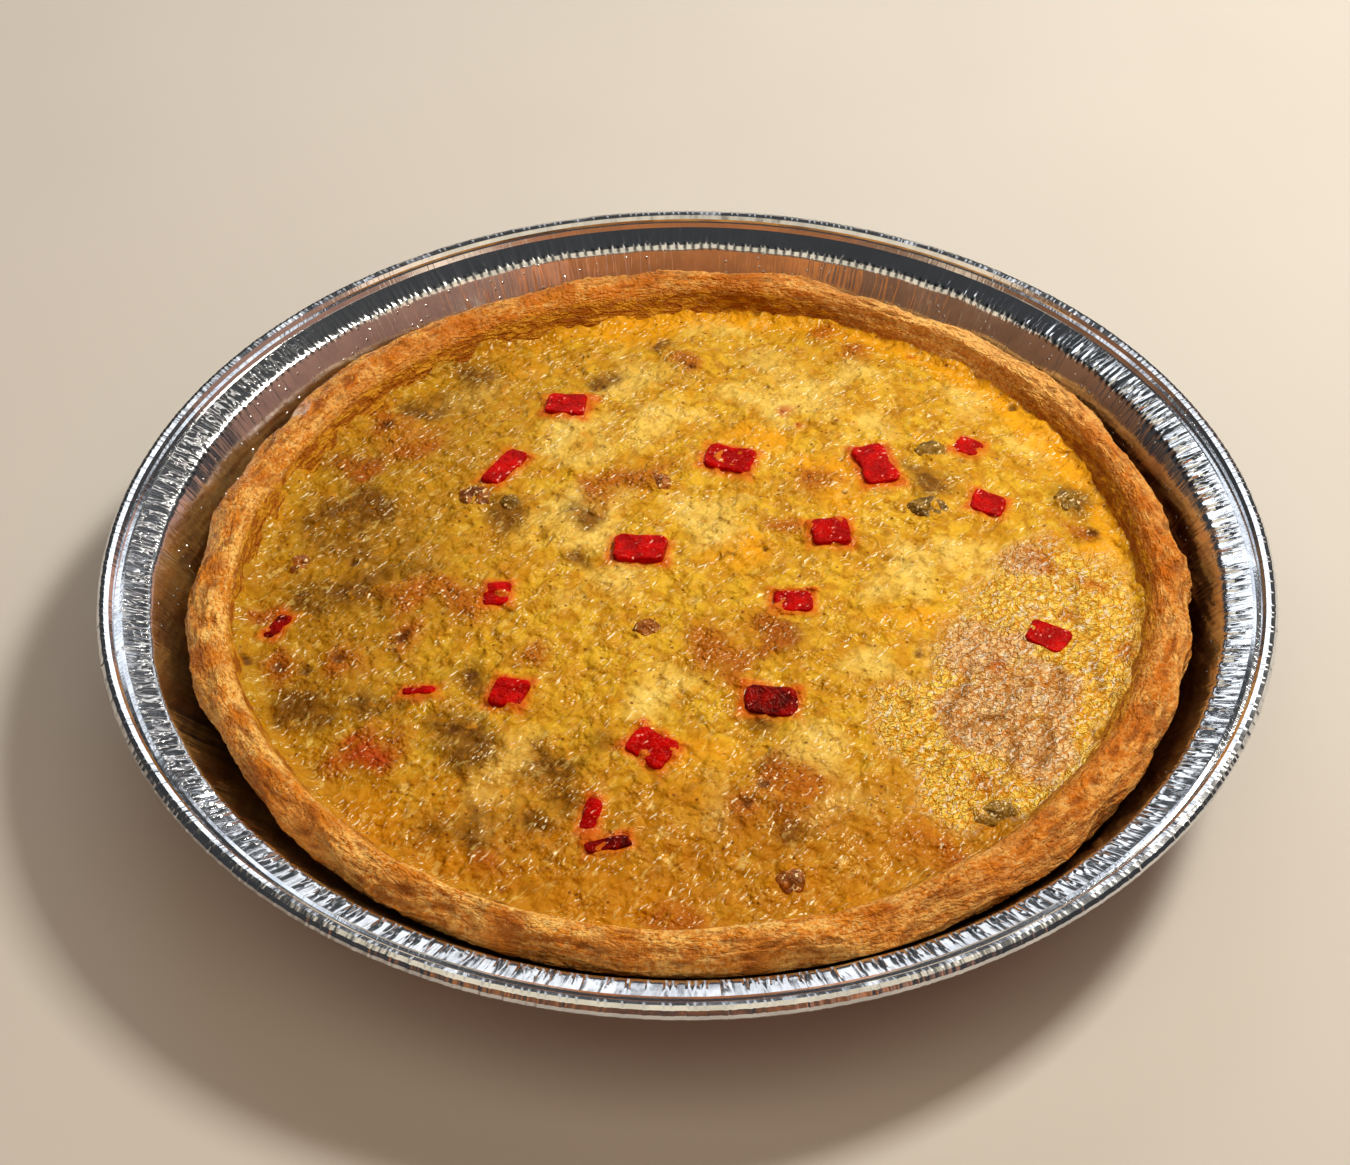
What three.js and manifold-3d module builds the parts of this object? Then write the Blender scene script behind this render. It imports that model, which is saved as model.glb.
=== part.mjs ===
// A whole tuna quiche in its own round foil tin: an open pastry case, a domed egg and cheese
// filling, and the red pepper dice and darker bits that are baked into its top.
// Millimetres, +Z up. The origin is the middle of the tin's flat underside.
import * as THREE from 'three';
import { mergeVertices } from 'three/addons/utils/BufferGeometryUtils.js';
import Module from 'manifold-3d';

const wasm = await Module();
wasm.setup();

// Driving sizes of the foil tin
const tin = {
  outerRadius: 120,
  height: 30,
  baseRadius: 92,
  cornerHeight: 2,
  shoulderRadius: 110.4,
  shoulderHeight: 26.4,
  shoulderRound: 1.2,
  beadRadius: 1.65,
  foldRadius: 115,
  foldHeight: 28.1,
  foil: 0.6,
  flutes: 76,
  fluteDepth: 0.55,
};

// Driving sizes of the pastry case, whose middle lies a little off the tin's
const crust = {
  middle: new THREE.Vector2(0.8, -1.3),
  outerRadius: 102.8,
  crestRadius: 98,
  crestHeight: 26.6,
  footRadius: 89.3,
  innerRadius: 90.9,
  innerHeight: 19.8,
  floorRadius: 82,
  floorThickness: 3.7,
  segments: 80,
  unevenness: 0.75,
  outlineWander: 0.55,
  crestWander: 0.45,
  nearFullness: 2.1,
};

// How the pastry ring differs from a round one: at each angle in degrees, how far its outer
// edge and its inner edge lie outwards and how much higher its crest stands
const ringShape = [
  { angle: 0, outer: -0.4, inner: 0.8, crest: 0 },
  { angle: 30, outer: -0.5, inner: 2.0, crest: -0.3 },
  { angle: 57, outer: -1.4, inner: 3.1, crest: -1.1 },
  { angle: 80, outer: 0.6, inner: 2.2, crest: 0.3 },
  { angle: 105, outer: 0.0, inner: -0.6, crest: 0.2 },
  { angle: 150, outer: -0.3, inner: -1.3, crest: 0 },
  { angle: 180, outer: -0.4, inner: 0.4, crest: 0 },
  { angle: 210, outer: 0.0, inner: 1.7, crest: 0 },
  { angle: 255, outer: 0.0, inner: 2.3, crest: 0 },
  { angle: 300, outer: 0.0, inner: 0.2, crest: 0 },
  { angle: 330, outer: -0.3, inner: -0.8, crest: 0 },
];

// Where the ring's unevenness and shape apply: heights and radii over which each fades in,
// where its outer wall ends, and how far round the near side it is full (0 at the sides,
// 1 at the very near)
const ringZone = {
  unevenFrom: 12,
  unevenFull: 21.5,
  crestFrom: 21,
  crestFull: 25,
  outerFrom: 91,
  outerFull: 102,
  outerWallRadius: 95,
  outerWallHeight: 23.3,
  wallFrom: 5,
  wallFull: 19,
  wallUntil: 20.4,
  wallEnd: 25.5,
  nearFrom: 0.3,
  nearFull: 0.85,
  innerUnevenness: 0.25,
};

// Driving sizes of the filling
const filling = {
  edgeHeight: 19.9,
  rise: 6.8,
  domePower: 2.6,
  segments: 64,
  rings: 15,
  unevenness: 0.45,
};

const gap = 0.3;
const pocketGap = 0.5;
const fillingRadius = crust.innerRadius - 0.55;

// Colours
const foilColour = 0xb9bcc0;
const pastryColour = 0xc98747;
const fillingColour = 0xd9b54a;
const pepperColour = 0xc2201c;
const darkPepperColour = 0x7c1714;
const oliveColour = 0x6a5a24;
const brownColour = 0x8a4a20;

// A seeded random number between 0 and 1
function makeRandom(seed) {
  let state = seed;
  return () => {
    state = (state * 1664525 + 1013904223) % 4294967296;
    return state / 4294967296;
  };
}

// The ring's difference from a round one at an angle in radians, smooth between the rows
function ringAt(angle, key) {
  const degrees = (THREE.MathUtils.radToDeg(angle) + 360) % 360;
  let i = ringShape.length - 1;
  while (ringShape[i].angle > degrees) {
    i -= 1;
  }
  const row = ringShape[i];
  const next = ringShape[(i + 1) % ringShape.length];
  const span = (next.angle - row.angle + 360) % 360;
  const share = THREE.MathUtils.smoothstep(degrees, row.angle, row.angle + span);
  return row[key] + (next[key] - row[key]) * share;
}

// A smooth seeded unevenness: a few sine waves that cross each other at odd angles
function makeWaves(seed, count, shortest, longest) {
  const random = makeRandom(seed);
  const waves = [];
  for (let i = 0; i < count; i += 1) {
    const angle = random() * Math.PI * 2;
    const length = shortest + (longest - shortest) * random();
    const phase = random() * Math.PI * 2;
    waves.push({ kx: Math.cos(angle) / length, ky: Math.sin(angle) / length, phase });
  }
  return (x, y) => {
    let sum = 0;
    for (const wave of waves) {
      sum += Math.sin((x * wave.kx + y * wave.ky) * Math.PI * 2 + wave.phase);
    }
    return sum / Math.sqrt(count);
  };
}

const fillingWaves = makeWaves(7, 9, 17, 46);
const crustWaves = makeWaves(21, 8, 13, 40);
const outlineWaves = makeWaves(4, 4, 70, 160);

// The lumps under the cheese: place, radius and height of each
const lumps = [
  { x: -66, y: 51, radius: 9, height: 1.0 },
  { x: -6, y: 78, radius: 8, height: 0.9 },
  { x: 2, y: 69, radius: 6, height: 0.9 },
  { x: 45, y: 72, radius: 9, height: 1.1 },
  { x: 65, y: 51, radius: 9, height: 1.0 },
  { x: -45, y: -48, radius: 9, height: 0.8 },
  { x: 14, y: -64, radius: 11, height: 1.0 },
  { x: 74, y: 3, radius: 8, height: 1.0 },
  { x: 20, y: -28, radius: 9, height: 0.8 },
  { x: -70, y: -34, radius: 9, height: 0.7 },
];

// How far the filling reaches from its middle at an angle
function fillingReach(angle) {
  return fillingRadius + Math.max(0, ringAt(angle, 'inner'));
}

// Height of the filling's top over the table at a place in the tin
function surfaceHeight(x, y) {
  const radius = Math.hypot(x - crust.middle.x, y - crust.middle.y);
  const angle = Math.atan2(y - crust.middle.y, x - crust.middle.x);
  const share = Math.min(1, radius / fillingReach(angle));
  const edgeFade = Math.min(1, (1 - share) * 6);
  let height = filling.edgeHeight + filling.rise * (1 - share ** filling.domePower);
  height += filling.unevenness * edgeFade * fillingWaves(x, y);
  for (const lump of lumps) {
    const away = Math.hypot(x - lump.x, y - lump.y) / lump.radius;
    height += lump.height * edgeFade * Math.exp(-away * away * 1.6);
  }
  return height;
}

function surfaceNormal(x, y) {
  const step = 2.5;
  const slopeX = (surfaceHeight(x + step, y) - surfaceHeight(x - step, y)) / (2 * step);
  const slopeY = (surfaceHeight(x, y + step) - surfaceHeight(x, y - step)) / (2 * step);
  return new THREE.Vector3(-slopeX, -slopeY, 1).normalize();
}

// A solid turned round the Z axis from a profile of [radius, height] points, and then
// shaped by a function that may move each point
function turnedSolid(profile, segments, shape) {
  const points = profile.map(([radius, height]) => new THREE.Vector2(radius, height));
  const geometry = new THREE.LatheGeometry(points, segments);
  geometry.rotateX(Math.PI / 2);
  const merged = closedGeometry(geometry);
  const place = merged.attributes.position;
  const point = new THREE.Vector3();
  for (let i = 0; i < place.count; i += 1) {
    point.fromBufferAttribute(place, i);
    shape(point);
    place.setXYZ(i, point.x, point.y, point.z);
  }
  return merged;
}

function closedGeometry(geometry) {
  const bare = geometry.clone();
  bare.deleteAttribute('normal');
  bare.deleteAttribute('uv');
  const merged = mergeVertices(bare, 1e-3);
  return withoutSlivers(merged);
}

// Triangles at the axis that have shrunk to a line are left out
function withoutSlivers(geometry) {
  const index = geometry.index.array;
  const kept = [];
  for (let i = 0; i < index.length; i += 3) {
    const [a, b, c] = [index[i], index[i + 1], index[i + 2]];
    if (a !== b && b !== c && c !== a) {
      kept.push(a, b, c);
    }
  }
  geometry.setIndex(kept);
  return geometry;
}

function toManifold(geometry) {
  return new wasm.Manifold(new wasm.Mesh({
    numProp: 3,
    vertProperties: new Float32Array(geometry.attributes.position.array),
    triVerts: new Uint32Array(geometry.index.array),
  }));
}

function fromManifold(solid) {
  const mesh = solid.getMesh();
  const geometry = new THREE.BufferGeometry();
  geometry.setAttribute('position', new THREE.BufferAttribute(mesh.vertProperties, 3));
  geometry.setIndex(new THREE.BufferAttribute(mesh.triVerts, 1));
  return geometry;
}

function namedMesh(name, geometry, colour, roughness, metalness) {
  geometry.computeVertexNormals();
  const material = new THREE.MeshStandardMaterial({ color: colour, roughness, metalness });
  const mesh = new THREE.Mesh(geometry, material);
  mesh.name = name;
  return mesh;
}

// Where the tin's wall ends under its shoulder
const wallTop = {
  radius: tin.shoulderRadius - tin.shoulderRound,
  height: tin.shoulderHeight - tin.shoulderRound * 0.9,
};

// Radius of the inside of the tin's wall at a height, without its flutes
function tinWallRadius(height) {
  const foot = { radius: tin.baseRadius - 0.75, height: tin.cornerHeight + 0.3 };
  const share = (height - foot.height) / (wallTop.height - foot.height);
  return foot.radius + (wallTop.radius - foot.radius) * share;
}

// The foil tin: flat base, fluted sloping wall, a flange that rises outwards over a fold,
// and a rolled bead
function makeTin() {
  const { baseRadius, cornerHeight, shoulderRadius, shoulderHeight, foil, beadRadius } = tin;
  const { foldRadius, foldHeight } = tin;
  const beadMiddle = { radius: tin.outerRadius - beadRadius, height: tin.height - beadRadius };
  const beadPoint = (degrees) => [
    beadMiddle.radius + beadRadius * Math.cos(THREE.MathUtils.degToRad(degrees)),
    beadMiddle.height + beadRadius * Math.sin(THREE.MathUtils.degToRad(degrees)),
  ];
  const profile = [
    [0, 0],
    [baseRadius - 1.6, 0],
    [baseRadius, cornerHeight],
    [wallTop.radius + foil, wallTop.height - foil * 0.7],
    [shoulderRadius + foil * 0.6, shoulderHeight - foil],
    [foldRadius + foil * 1.3, foldHeight - foil],
    beadPoint(235),
    beadPoint(300),
    beadPoint(0),
    beadPoint(55),
    beadPoint(90),
    beadPoint(135),
    beadPoint(170),
    [foldRadius, foldHeight],
    [shoulderRadius, shoulderHeight],
    [wallTop.radius, wallTop.height],
    [baseRadius - 0.75, cornerHeight + 0.3],
    [baseRadius - 1.9, foil],
    [0, foil],
  ];
  const wallFade = (radius) => THREE.MathUtils.smoothstep(radius, baseRadius, baseRadius + 3);
  const flangeFade = (radius) => 1 - 0.75 * THREE.MathUtils.smoothstep(radius, shoulderRadius - 2, 114);
  const beadFade = (radius) => 1 - THREE.MathUtils.smoothstep(radius, 115, 116.5);
  const segmentAngle = Math.PI / tin.flutes;
  return turnedSolid(profile, tin.flutes * 2, (point) => {
    const radius = Math.hypot(point.x, point.y);
    if (radius < baseRadius) {
      return;
    }
    const segment = Math.round(Math.atan2(point.y, point.x) / segmentAngle);
    const side = segment % 2 === 0 ? 1 : -1;
    const depth = tin.fluteDepth * wallFade(radius) * flangeFade(radius) * beadFade(radius);
    const scale = (radius + side * depth) / radius;
    point.x *= scale;
    point.y *= scale;
  });
}

// The open pastry case: a thin floor, a wall that leans out and an uneven rounded rim
function makeCrust() {
  const floorUnder = tin.foil + gap + 0.05;
  const floorTop = floorUnder + crust.floorThickness;
  const profile = [
    [0, floorUnder],
    [crust.footRadius - 1.7, floorUnder],
    [crust.footRadius, floorUnder + 1.7],
    [96.2, 13],
    [101.1, 20.4],
    [crust.outerRadius, 23.2],
    [102.2, 25.2],
    [100.4, 26.3],
    [crust.crestRadius, crust.crestHeight],
    [95.6, 26.0],
    [93.3, 23.7],
    [91.8, 21.4],
    [crust.innerRadius, crust.innerHeight],
    [crust.floorRadius + 2, floorTop + 2.4],
    [crust.floorRadius, floorTop],
    [0, floorTop],
  ];
  const { smoothstep } = THREE.MathUtils;
  const zone = ringZone;
  return turnedSolid(profile, crust.segments, (point) => {
    const radius = Math.hypot(point.x, point.y);
    const angle = Math.atan2(point.y, point.x);
    const height = point.z;
    const isRim = height > crust.innerHeight + 0.1;
    const isOuterWall = radius > zone.outerWallRadius && height < zone.outerWallHeight;
    const isBrim = radius > crust.innerRadius - 0.5 && height > crust.innerHeight - 0.1;
    const shown = isRim ? smoothstep(height, zone.unevenFrom, zone.unevenFull) : 0;
    const outside = radius > crust.crestRadius ? 1 : zone.innerUnevenness;
    const arcX = Math.cos(angle) * crust.outerRadius;
    const arcY = Math.sin(angle) * crust.outerRadius;
    const bulge = crust.unevenness * crustWaves(arcX + height * 1.7, arcY - height * 2.3);
    const wander = crust.outlineWander * outlineWaves(arcX, arcY);
    let moved = radius + shown * outside * (wander + bulge);
    const inner = isRim ? ringAt(angle, 'inner') : Math.max(0, ringAt(angle, 'inner'));
    const outerShare = smoothstep(radius, zone.outerFrom, zone.outerFull);
    if (isOuterWall) {
      moved += ringAt(angle, 'outer') * shown;
    } else if (isBrim) {
      moved += inner * (1 - outerShare) + ringAt(angle, 'outer') * outerShare;
    }
    if (isOuterWall || radius > crust.crestRadius) {
      const near = smoothstep(-Math.sin(angle), zone.nearFrom, zone.nearFull);
      const rising = smoothstep(height, zone.wallFrom, zone.wallFull);
      const ending = 1 - smoothstep(height, zone.wallUntil, zone.wallEnd);
      moved += crust.nearFullness * near * rising * ending;
    }
    point.x *= moved / radius || 1;
    point.y *= moved / radius || 1;
    point.z += shown * crust.crestWander * crustWaves(arcY + 31, arcX - 17);
    point.z += ringAt(angle, 'crest') * smoothstep(height, zone.crestFrom, zone.crestFull);
    point.x += crust.middle.x;
    point.y += crust.middle.y;
    if (height > tin.cornerHeight) {
      const most = tinWallRadius(point.z) - tin.fluteDepth - gap;
      const squeeze = Math.min(1, most / Math.hypot(point.x, point.y));
      point.x *= squeeze;
      point.y *= squeeze;
    }
  });
}

// The filling: its underside follows the case, its top is the uneven dome
function makeFilling() {
  const under = tin.foil + gap + 0.05 + crust.floorThickness + gap + 0.05;
  const profile = [
    [0, under],
    [crust.floorRadius - 0.4, under],
    [crust.floorRadius + 1.5, under + 2.4],
    [fillingRadius, filling.edgeHeight - 0.3],
  ];
  for (let ring = 0; ring <= filling.rings; ring += 1) {
    const share = 1 - (ring / filling.rings) ** 1.15;
    const height = filling.edgeHeight + filling.rise * (1 - share ** filling.domePower);
    profile.push([fillingRadius * share - (ring === 0 ? 0.15 : 0), height]);
  }
  return turnedSolid(profile, filling.segments, (point) => {
    const isTop = point.z >= filling.edgeHeight - 0.05;
    const isWide = point.z > filling.edgeHeight - 0.5;
    const spread = isWide ? fillingReach(Math.atan2(point.y, point.x)) / fillingRadius : 1;
    point.x *= spread;
    point.y *= spread;
    point.x += crust.middle.x;
    point.y += crust.middle.y;
    if (isTop) {
      point.z = surfaceHeight(point.x, point.y);
    }
  });
}

// A diced piece seen from above: an uneven four-sided outline with its corners cut off, and
// its two long sides drawn in where it has a waist
function diceOutline(long, wide, seed, waist) {
  const random = makeRandom(seed);
  const corners = [[-1, -1], [1, -1], [1, 1], [-1, 1]].map(([sideX, sideY]) => new THREE.Vector2(
    sideX * (long / 2) * (0.86 + 0.14 * random()),
    sideY * (wide / 2) * (0.84 + 0.16 * random()),
  ));
  const points = [];
  corners.forEach((corner, i) => {
    const next = corners[(i + 1) % corners.length];
    const isLongSide = i % 2 === 0;
    points.push(corner.clone().lerp(next, 0.12));
    if (isLongSide && waist > 0) {
      points.push(corner.clone().add(next).multiplyScalar((1 - waist) / 2));
    }
    points.push(corner.clone().lerp(next, 0.88));
  });
  return new THREE.Shape(points);
}

// The pepper dice: where each lies, its length and width, how it is turned, its waist,
// how far it stands out of the filling and which red it is
const peppers = [
  { x: -26.0, y: 52.7, long: 10.6, wide: 9.0, turn: -10, waist: 0.06, proud: 1.1 },
  { x: -38.9, y: 30.6, long: 12.8, wide: 5.6, turn: 58, waist: 0.0, proud: 1.2 },
  { x: 9.4, y: 31.8, long: 12.0, wide: 9.0, turn: -18, waist: 0.12, proud: 1.0 },
  { x: 40.9, y: 30.3, long: 15.4, wide: 9.2, turn: -78, waist: 0.22, proud: 1.3 },
  { x: 61.6, y: 39.1, long: 7.4, wide: 6.2, turn: 62, waist: 0.0, proud: 0.9 },
  { x: 64.1, y: 19.7, long: 8.2, wide: 7.6, turn: -20, waist: 0.05, proud: 1.0 },
  { x: 30.0, y: 7.8, long: 9.8, wide: 8.0, turn: 4, waist: 0.05, proud: 1.0 },
  { x: -9.7, y: 2.4, long: 12.6, wide: 8.4, turn: -6, waist: 0.03, proud: 1.4 },
  { x: -38.6, y: -9.5, long: 7.0, wide: 6.2, turn: 88, waist: 0.0, proud: 0.8 },
  { x: 21.5, y: -12.9, long: 9.4, wide: 7.0, turn: -2, waist: 0.04, proud: 1.0 },
  { x: 72.4, y: -20.9, long: 9.6, wide: 7.8, turn: -28, waist: 0.04, proud: 1.1 },
  { x: 15.9, y: -40.1, long: 11.8, wide: 7.8, turn: -5, waist: 0.0, proud: 1.3, dark: true },
  { x: -35.3, y: -37.3, long: 8.8, wide: 7.8, turn: 72, waist: 0.0, proud: 1.1 },
  { x: -53.3, y: -35.3, long: 8.0, wide: 2.4, turn: -4, waist: 0.0, proud: 0.4 },
  { x: -7.3, y: -52.2, long: 10.2, wide: 8.2, turn: -38, waist: 0.1, proud: 1.0 },
  { x: -83.4, y: -13.3, long: 7.4, wide: 3.4, turn: 58, waist: 0.0, proud: 0.6, dark: true },
  { x: -18.6, y: -68.0, long: 8.6, wide: 3.6, turn: 78, waist: 0.0, proud: 0.5 },
  { x: -15.4, y: -75.2, long: 9.4, wide: 3.2, turn: 12, waist: 0.0, proud: 0.7, dark: true },
];

// The darker bits: seared and olive-green pieces, as uneven lumps
const darkBits = [
  { name: 'seared_piece_01', x: -44.6, y: 21.8, long: 8.4, wide: 6.6, turn: -15, colour: brownColour },
  { name: 'seared_piece_02', x: -8.3, y: -20.4, long: 6.4, wide: 5.2, turn: 20, colour: brownColour },
  { name: 'seared_piece_03', x: 18.6, y: -82.9, long: 7.0, wide: 5.6, turn: 0, colour: brownColour },
  { name: 'seared_piece_04', x: -80.9, y: 5.3, long: 6.6, wide: 4.2, turn: 70, colour: brownColour },
  { name: 'seared_piece_05', x: -6.0, y: 24.2, long: 7.2, wide: 5.4, turn: -25, colour: brownColour },
  { name: 'olive_piece_01', x: -37.4, y: 19.6, long: 5.0, wide: 4.4, turn: 10, colour: oliveColour },
  { name: 'olive_piece_02', x: 51.2, y: 16.8, long: 9.6, wide: 6.4, turn: 10, colour: oliveColour },
  { name: 'olive_piece_03', x: 53.4, y: 37.3, long: 8.4, wide: 6.0, turn: 20, colour: oliveColour },
  { name: 'olive_piece_04', x: 58.0, y: -66.4, long: 10.2, wide: 6.0, turn: 32, colour: oliveColour },
  { name: 'olive_piece_05', x: 81.6, y: 23.0, long: 6.4, wide: 7.8, turn: 0, colour: oliveColour },
];

const diceDepth = 3.4;
const diceBevel = 0.45;
const lumpDepth = 4.0;
const lumpSunk = 0.6;

// Stands a piece in the filling: upright on the surface and turned about the surface's normal
function placeOnSurface(mesh, spot) {
  const normal = surfaceNormal(spot.x, spot.y);
  mesh.position.set(spot.x, spot.y, surfaceHeight(spot.x, spot.y));
  mesh.quaternion.setFromUnitVectors(new THREE.Vector3(0, 0, 1), normal);
  mesh.rotateZ(THREE.MathUtils.degToRad(spot.turn));
  mesh.updateMatrixWorld(true);
}

// A dice with bevelled edges, its top face standing proud of the surface. Where grown is
// given, it is instead the plain pocket that the dice sits in, that much larger all round.
function diceGeometry(spot, seed, grown) {
  const isPocket = grown > 0;
  const inset = isPocket ? -grown : diceBevel;
  const outline = diceOutline(spot.long - 2 * inset, spot.wide - 2 * inset, seed, spot.waist);
  const geometry = new THREE.ExtrudeGeometry(outline, {
    depth: diceDepth - 2 * inset,
    bevelEnabled: !isPocket,
    bevelThickness: diceBevel,
    bevelSize: diceBevel,
    bevelSegments: 1,
  });
  geometry.translate(0, 0, spot.proud - diceDepth + inset);
  return closedGeometry(geometry);
}

// A lump, mostly sunk in the filling. Where grown is given, it is instead the eight-sided
// pocket that the lump sits in, that much larger all round.
function lumpGeometry(spot, seed, grown) {
  const isPocket = grown > 0;
  const ball = new THREE.IcosahedronGeometry(1, 1);
  const well = new THREE.CylinderGeometry(1, 0.8, 2, 8).rotateX(Math.PI / 2);
  const geometry = closedGeometry(isPocket ? well : ball);
  const random = makeRandom(seed);
  const place = geometry.attributes.position;
  for (let i = 0; i < place.count; i += 1) {
    const uneven = isPocket ? 1.06 : 0.86 + 0.14 * random();
    place.setXYZ(
      i,
      place.getX(i) * (spot.long / 2 * uneven + grown),
      place.getY(i) * (spot.wide / 2 * uneven + grown),
      place.getZ(i) * (lumpDepth / 2 + grown) - lumpSunk,
    );
  }
  return geometry;
}

const quiche = new THREE.Group();
quiche.add(namedMesh('foil_tin', makeTin(), foilColour, 0.25, 1));
quiche.add(namedMesh('pastry_case', makeCrust(), pastryColour, 0.7, 0));

let custard = toManifold(makeFilling());

function addPiece(name, makeGeometry, spot, seed, colour) {
  const piece = namedMesh(name, makeGeometry(spot, seed, 0), colour, 0.35, 0);
  placeOnSurface(piece, spot);
  const pocket = makeGeometry(spot, seed, pocketGap);
  pocket.applyMatrix4(piece.matrixWorld);
  custard = custard.subtract(toManifold(pocket));
  quiche.add(piece);
}

peppers.forEach((spot, i) => {
  const name = `pepper_${String(i + 1).padStart(2, '0')}`;
  addPiece(name, diceGeometry, spot, 100 + i, spot.dark ? darkPepperColour : pepperColour);
});
darkBits.forEach((spot, i) => {
  addPiece(spot.name, lumpGeometry, spot, 300 + i, spot.colour);
});

quiche.add(namedMesh('filling', fromManifold(custard), fillingColour, 0.4, 0));

export default quiche;
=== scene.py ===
import math
import bpy
import numpy as np
from mathutils import Matrix, Vector, noise


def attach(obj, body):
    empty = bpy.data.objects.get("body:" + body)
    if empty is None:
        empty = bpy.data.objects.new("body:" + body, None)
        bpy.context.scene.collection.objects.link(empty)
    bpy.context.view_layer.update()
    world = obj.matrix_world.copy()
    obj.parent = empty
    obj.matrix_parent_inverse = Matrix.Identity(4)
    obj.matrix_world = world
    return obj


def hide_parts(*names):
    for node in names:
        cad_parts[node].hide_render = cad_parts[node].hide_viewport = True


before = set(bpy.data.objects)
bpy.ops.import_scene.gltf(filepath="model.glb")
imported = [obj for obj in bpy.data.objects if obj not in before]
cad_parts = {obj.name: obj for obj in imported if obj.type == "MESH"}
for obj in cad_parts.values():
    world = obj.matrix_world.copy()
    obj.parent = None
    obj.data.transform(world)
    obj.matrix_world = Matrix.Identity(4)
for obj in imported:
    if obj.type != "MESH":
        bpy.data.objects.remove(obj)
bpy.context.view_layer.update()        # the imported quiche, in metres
mm = 0.001               # sizes below are in millimetres
tiny = 1e-9              # keeps a division from meeting a zero


# Picking, painting and finishing

def deselectAll():
    if bpy.context.mode != "OBJECT":
        bpy.ops.object.mode_set(mode="OBJECT")
    bpy.ops.object.select_all(action="DESELECT")


def takeUp(piece):
    deselectAll()
    piece.select_set(True)
    bpy.context.view_layer.objects.active = piece


def editAll(piece):
    takeUp(piece)
    bpy.ops.object.mode_set(mode="EDIT")
    bpy.ops.mesh.select_mode(type="VERT")
    bpy.ops.mesh.select_all(action="SELECT")


def editOpenEdges(piece):
    editAll(piece)
    bpy.ops.mesh.select_all(action="DESELECT")
    bpy.ops.mesh.select_non_manifold()


def leaveEdit():
    bpy.ops.object.mode_set(mode="OBJECT")


def readPoints(piece):
    points = np.empty(len(piece.data.vertices) * 3, dtype=np.float32)
    piece.data.vertices.foreach_get("co", points)
    return points.reshape(-1, 3).astype(float) / mm


def writePoints(piece, points):
    piece.data.vertices.foreach_set("co", (points * mm).astype(np.float32).ravel())
    piece.data.update()


def paint(piece, name, values):
    layer = piece.data.attributes.new(name, "FLOAT", "POINT")
    layer.data.foreach_set("value", np.clip(values, 0.0, 1.0).astype(np.float32))


def applyAll(piece):
    takeUp(piece)
    for modifier in list(piece.modifiers):
        bpy.ops.object.modifier_apply(modifier=modifier.name)


def roughen(piece, size, depth):
    # a displacement whose lumps are `size` across and `depth` high
    pattern = bpy.data.textures.new(piece.name + "Clouds", "CLOUDS")
    pattern.noise_scale = size * mm
    pattern.noise_depth = 1
    pattern.noise_basis = "ORIGINAL_PERLIN"
    lumpy = piece.modifiers.new("Clouds", "DISPLACE")
    lumpy.texture = pattern
    lumpy.texture_coords = "LOCAL"
    lumpy.strength = depth * mm


def finishPiece(piece, name, finish, nodes, sharpAngle=None):
    piece.name = name
    piece.data.name = name
    piece.data.materials.clear()
    piece.data.materials.append(finish)
    takeUp(piece)
    if sharpAngle is None:
        bpy.ops.object.shade_smooth()
    else:
        bpy.ops.object.shade_smooth_by_angle(angle=math.radians(sharpAngle))
    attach(piece, "root")
    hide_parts(*nodes)
    deselectAll()


def smooth(low, high, value):
    share = np.clip((value - low) / (high - low), 0.0, 1.0)
    return share * share * (3 - 2 * share)


def grain(points, size, seed, octaves=1):
    # seeded noise from about -1 to 1, its lumps `size` across
    shift = Vector((seed * 17.3 + 5.1, seed * 7.9 + 2.3, seed * 3.7 + 9.2))
    if octaves == 1:
        return np.array([noise.noise(Vector(p) / size + shift) for p in points]) * 1.6
    return np.array([noise.fractal(Vector(p) / size + shift, 0.8, 2.0, octaves) for p in points])


def ridged(points, size, seed):
    # folds with a sharp crest
    return 0.5 - np.abs(grain(points, size, seed)) * 1.6


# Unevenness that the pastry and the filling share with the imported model

def makeRandom(seed):
    state = [seed]

    def draw():
        state[0] = (state[0] * 1664525 + 1013904223) % 4294967296
        return state[0] / 4294967296
    return draw


def makeWaves(seed, count, shortest, longest):
    draw = makeRandom(seed)
    waves = []
    for _ in range(count):
        angle = draw() * math.tau
        length = shortest + (longest - shortest) * draw()
        phase = draw() * math.tau
        waves.append((math.cos(angle) / length, math.sin(angle) / length, phase))

    def height(x, y):
        total = 0
        for kx, ky, phase in waves:
            total = total + np.sin((x * kx + y * ky) * math.tau + phase)
        return total / math.sqrt(count)
    return height


fillingWaves = makeWaves(7, 9, 17, 46)
crustWaves = makeWaves(21, 8, 13, 40)
outlineWaves = makeWaves(4, 4, 70, 160)
pieMiddle = (0.8, -1.3)       # the pastry lies a little off the tin's middle

# How the pastry ring differs from a round one: at each angle in degrees, how far its outer edge
# and its inner edge lie outwards, and how much higher its crest stands
ringShape = [
    (0, -0.4, 0.8, 0.0), (30, -0.5, 2.0, -0.3), (57, -1.4, 3.1, -1.1), (80, 0.6, 2.2, 0.3),
    (105, 0.0, -0.6, 0.2), (150, -0.3, -1.3, 0.0), (180, -0.4, 0.4, 0.0), (210, 0.0, 1.7, 0.0),
    (255, 0.0, 2.3, 0.0), (300, 0.0, 0.2, 0.0), (330, -0.3, -0.8, 0.0), (360, -0.4, 0.8, 0.0),
]
ringOuter, ringInner, ringCrest = 1, 2, 3


def ringAt(angle, column):
    rows = np.array(ringShape)
    degrees = np.degrees(angle) % 360
    row = np.clip(np.searchsorted(rows[:, 0], degrees, side="right") - 1, 0, len(rows) - 2)
    share = smooth(rows[row, 0], rows[row + 1, 0], degrees)
    return rows[row, column] + (rows[row + 1, column] - rows[row, column]) * share


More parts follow.
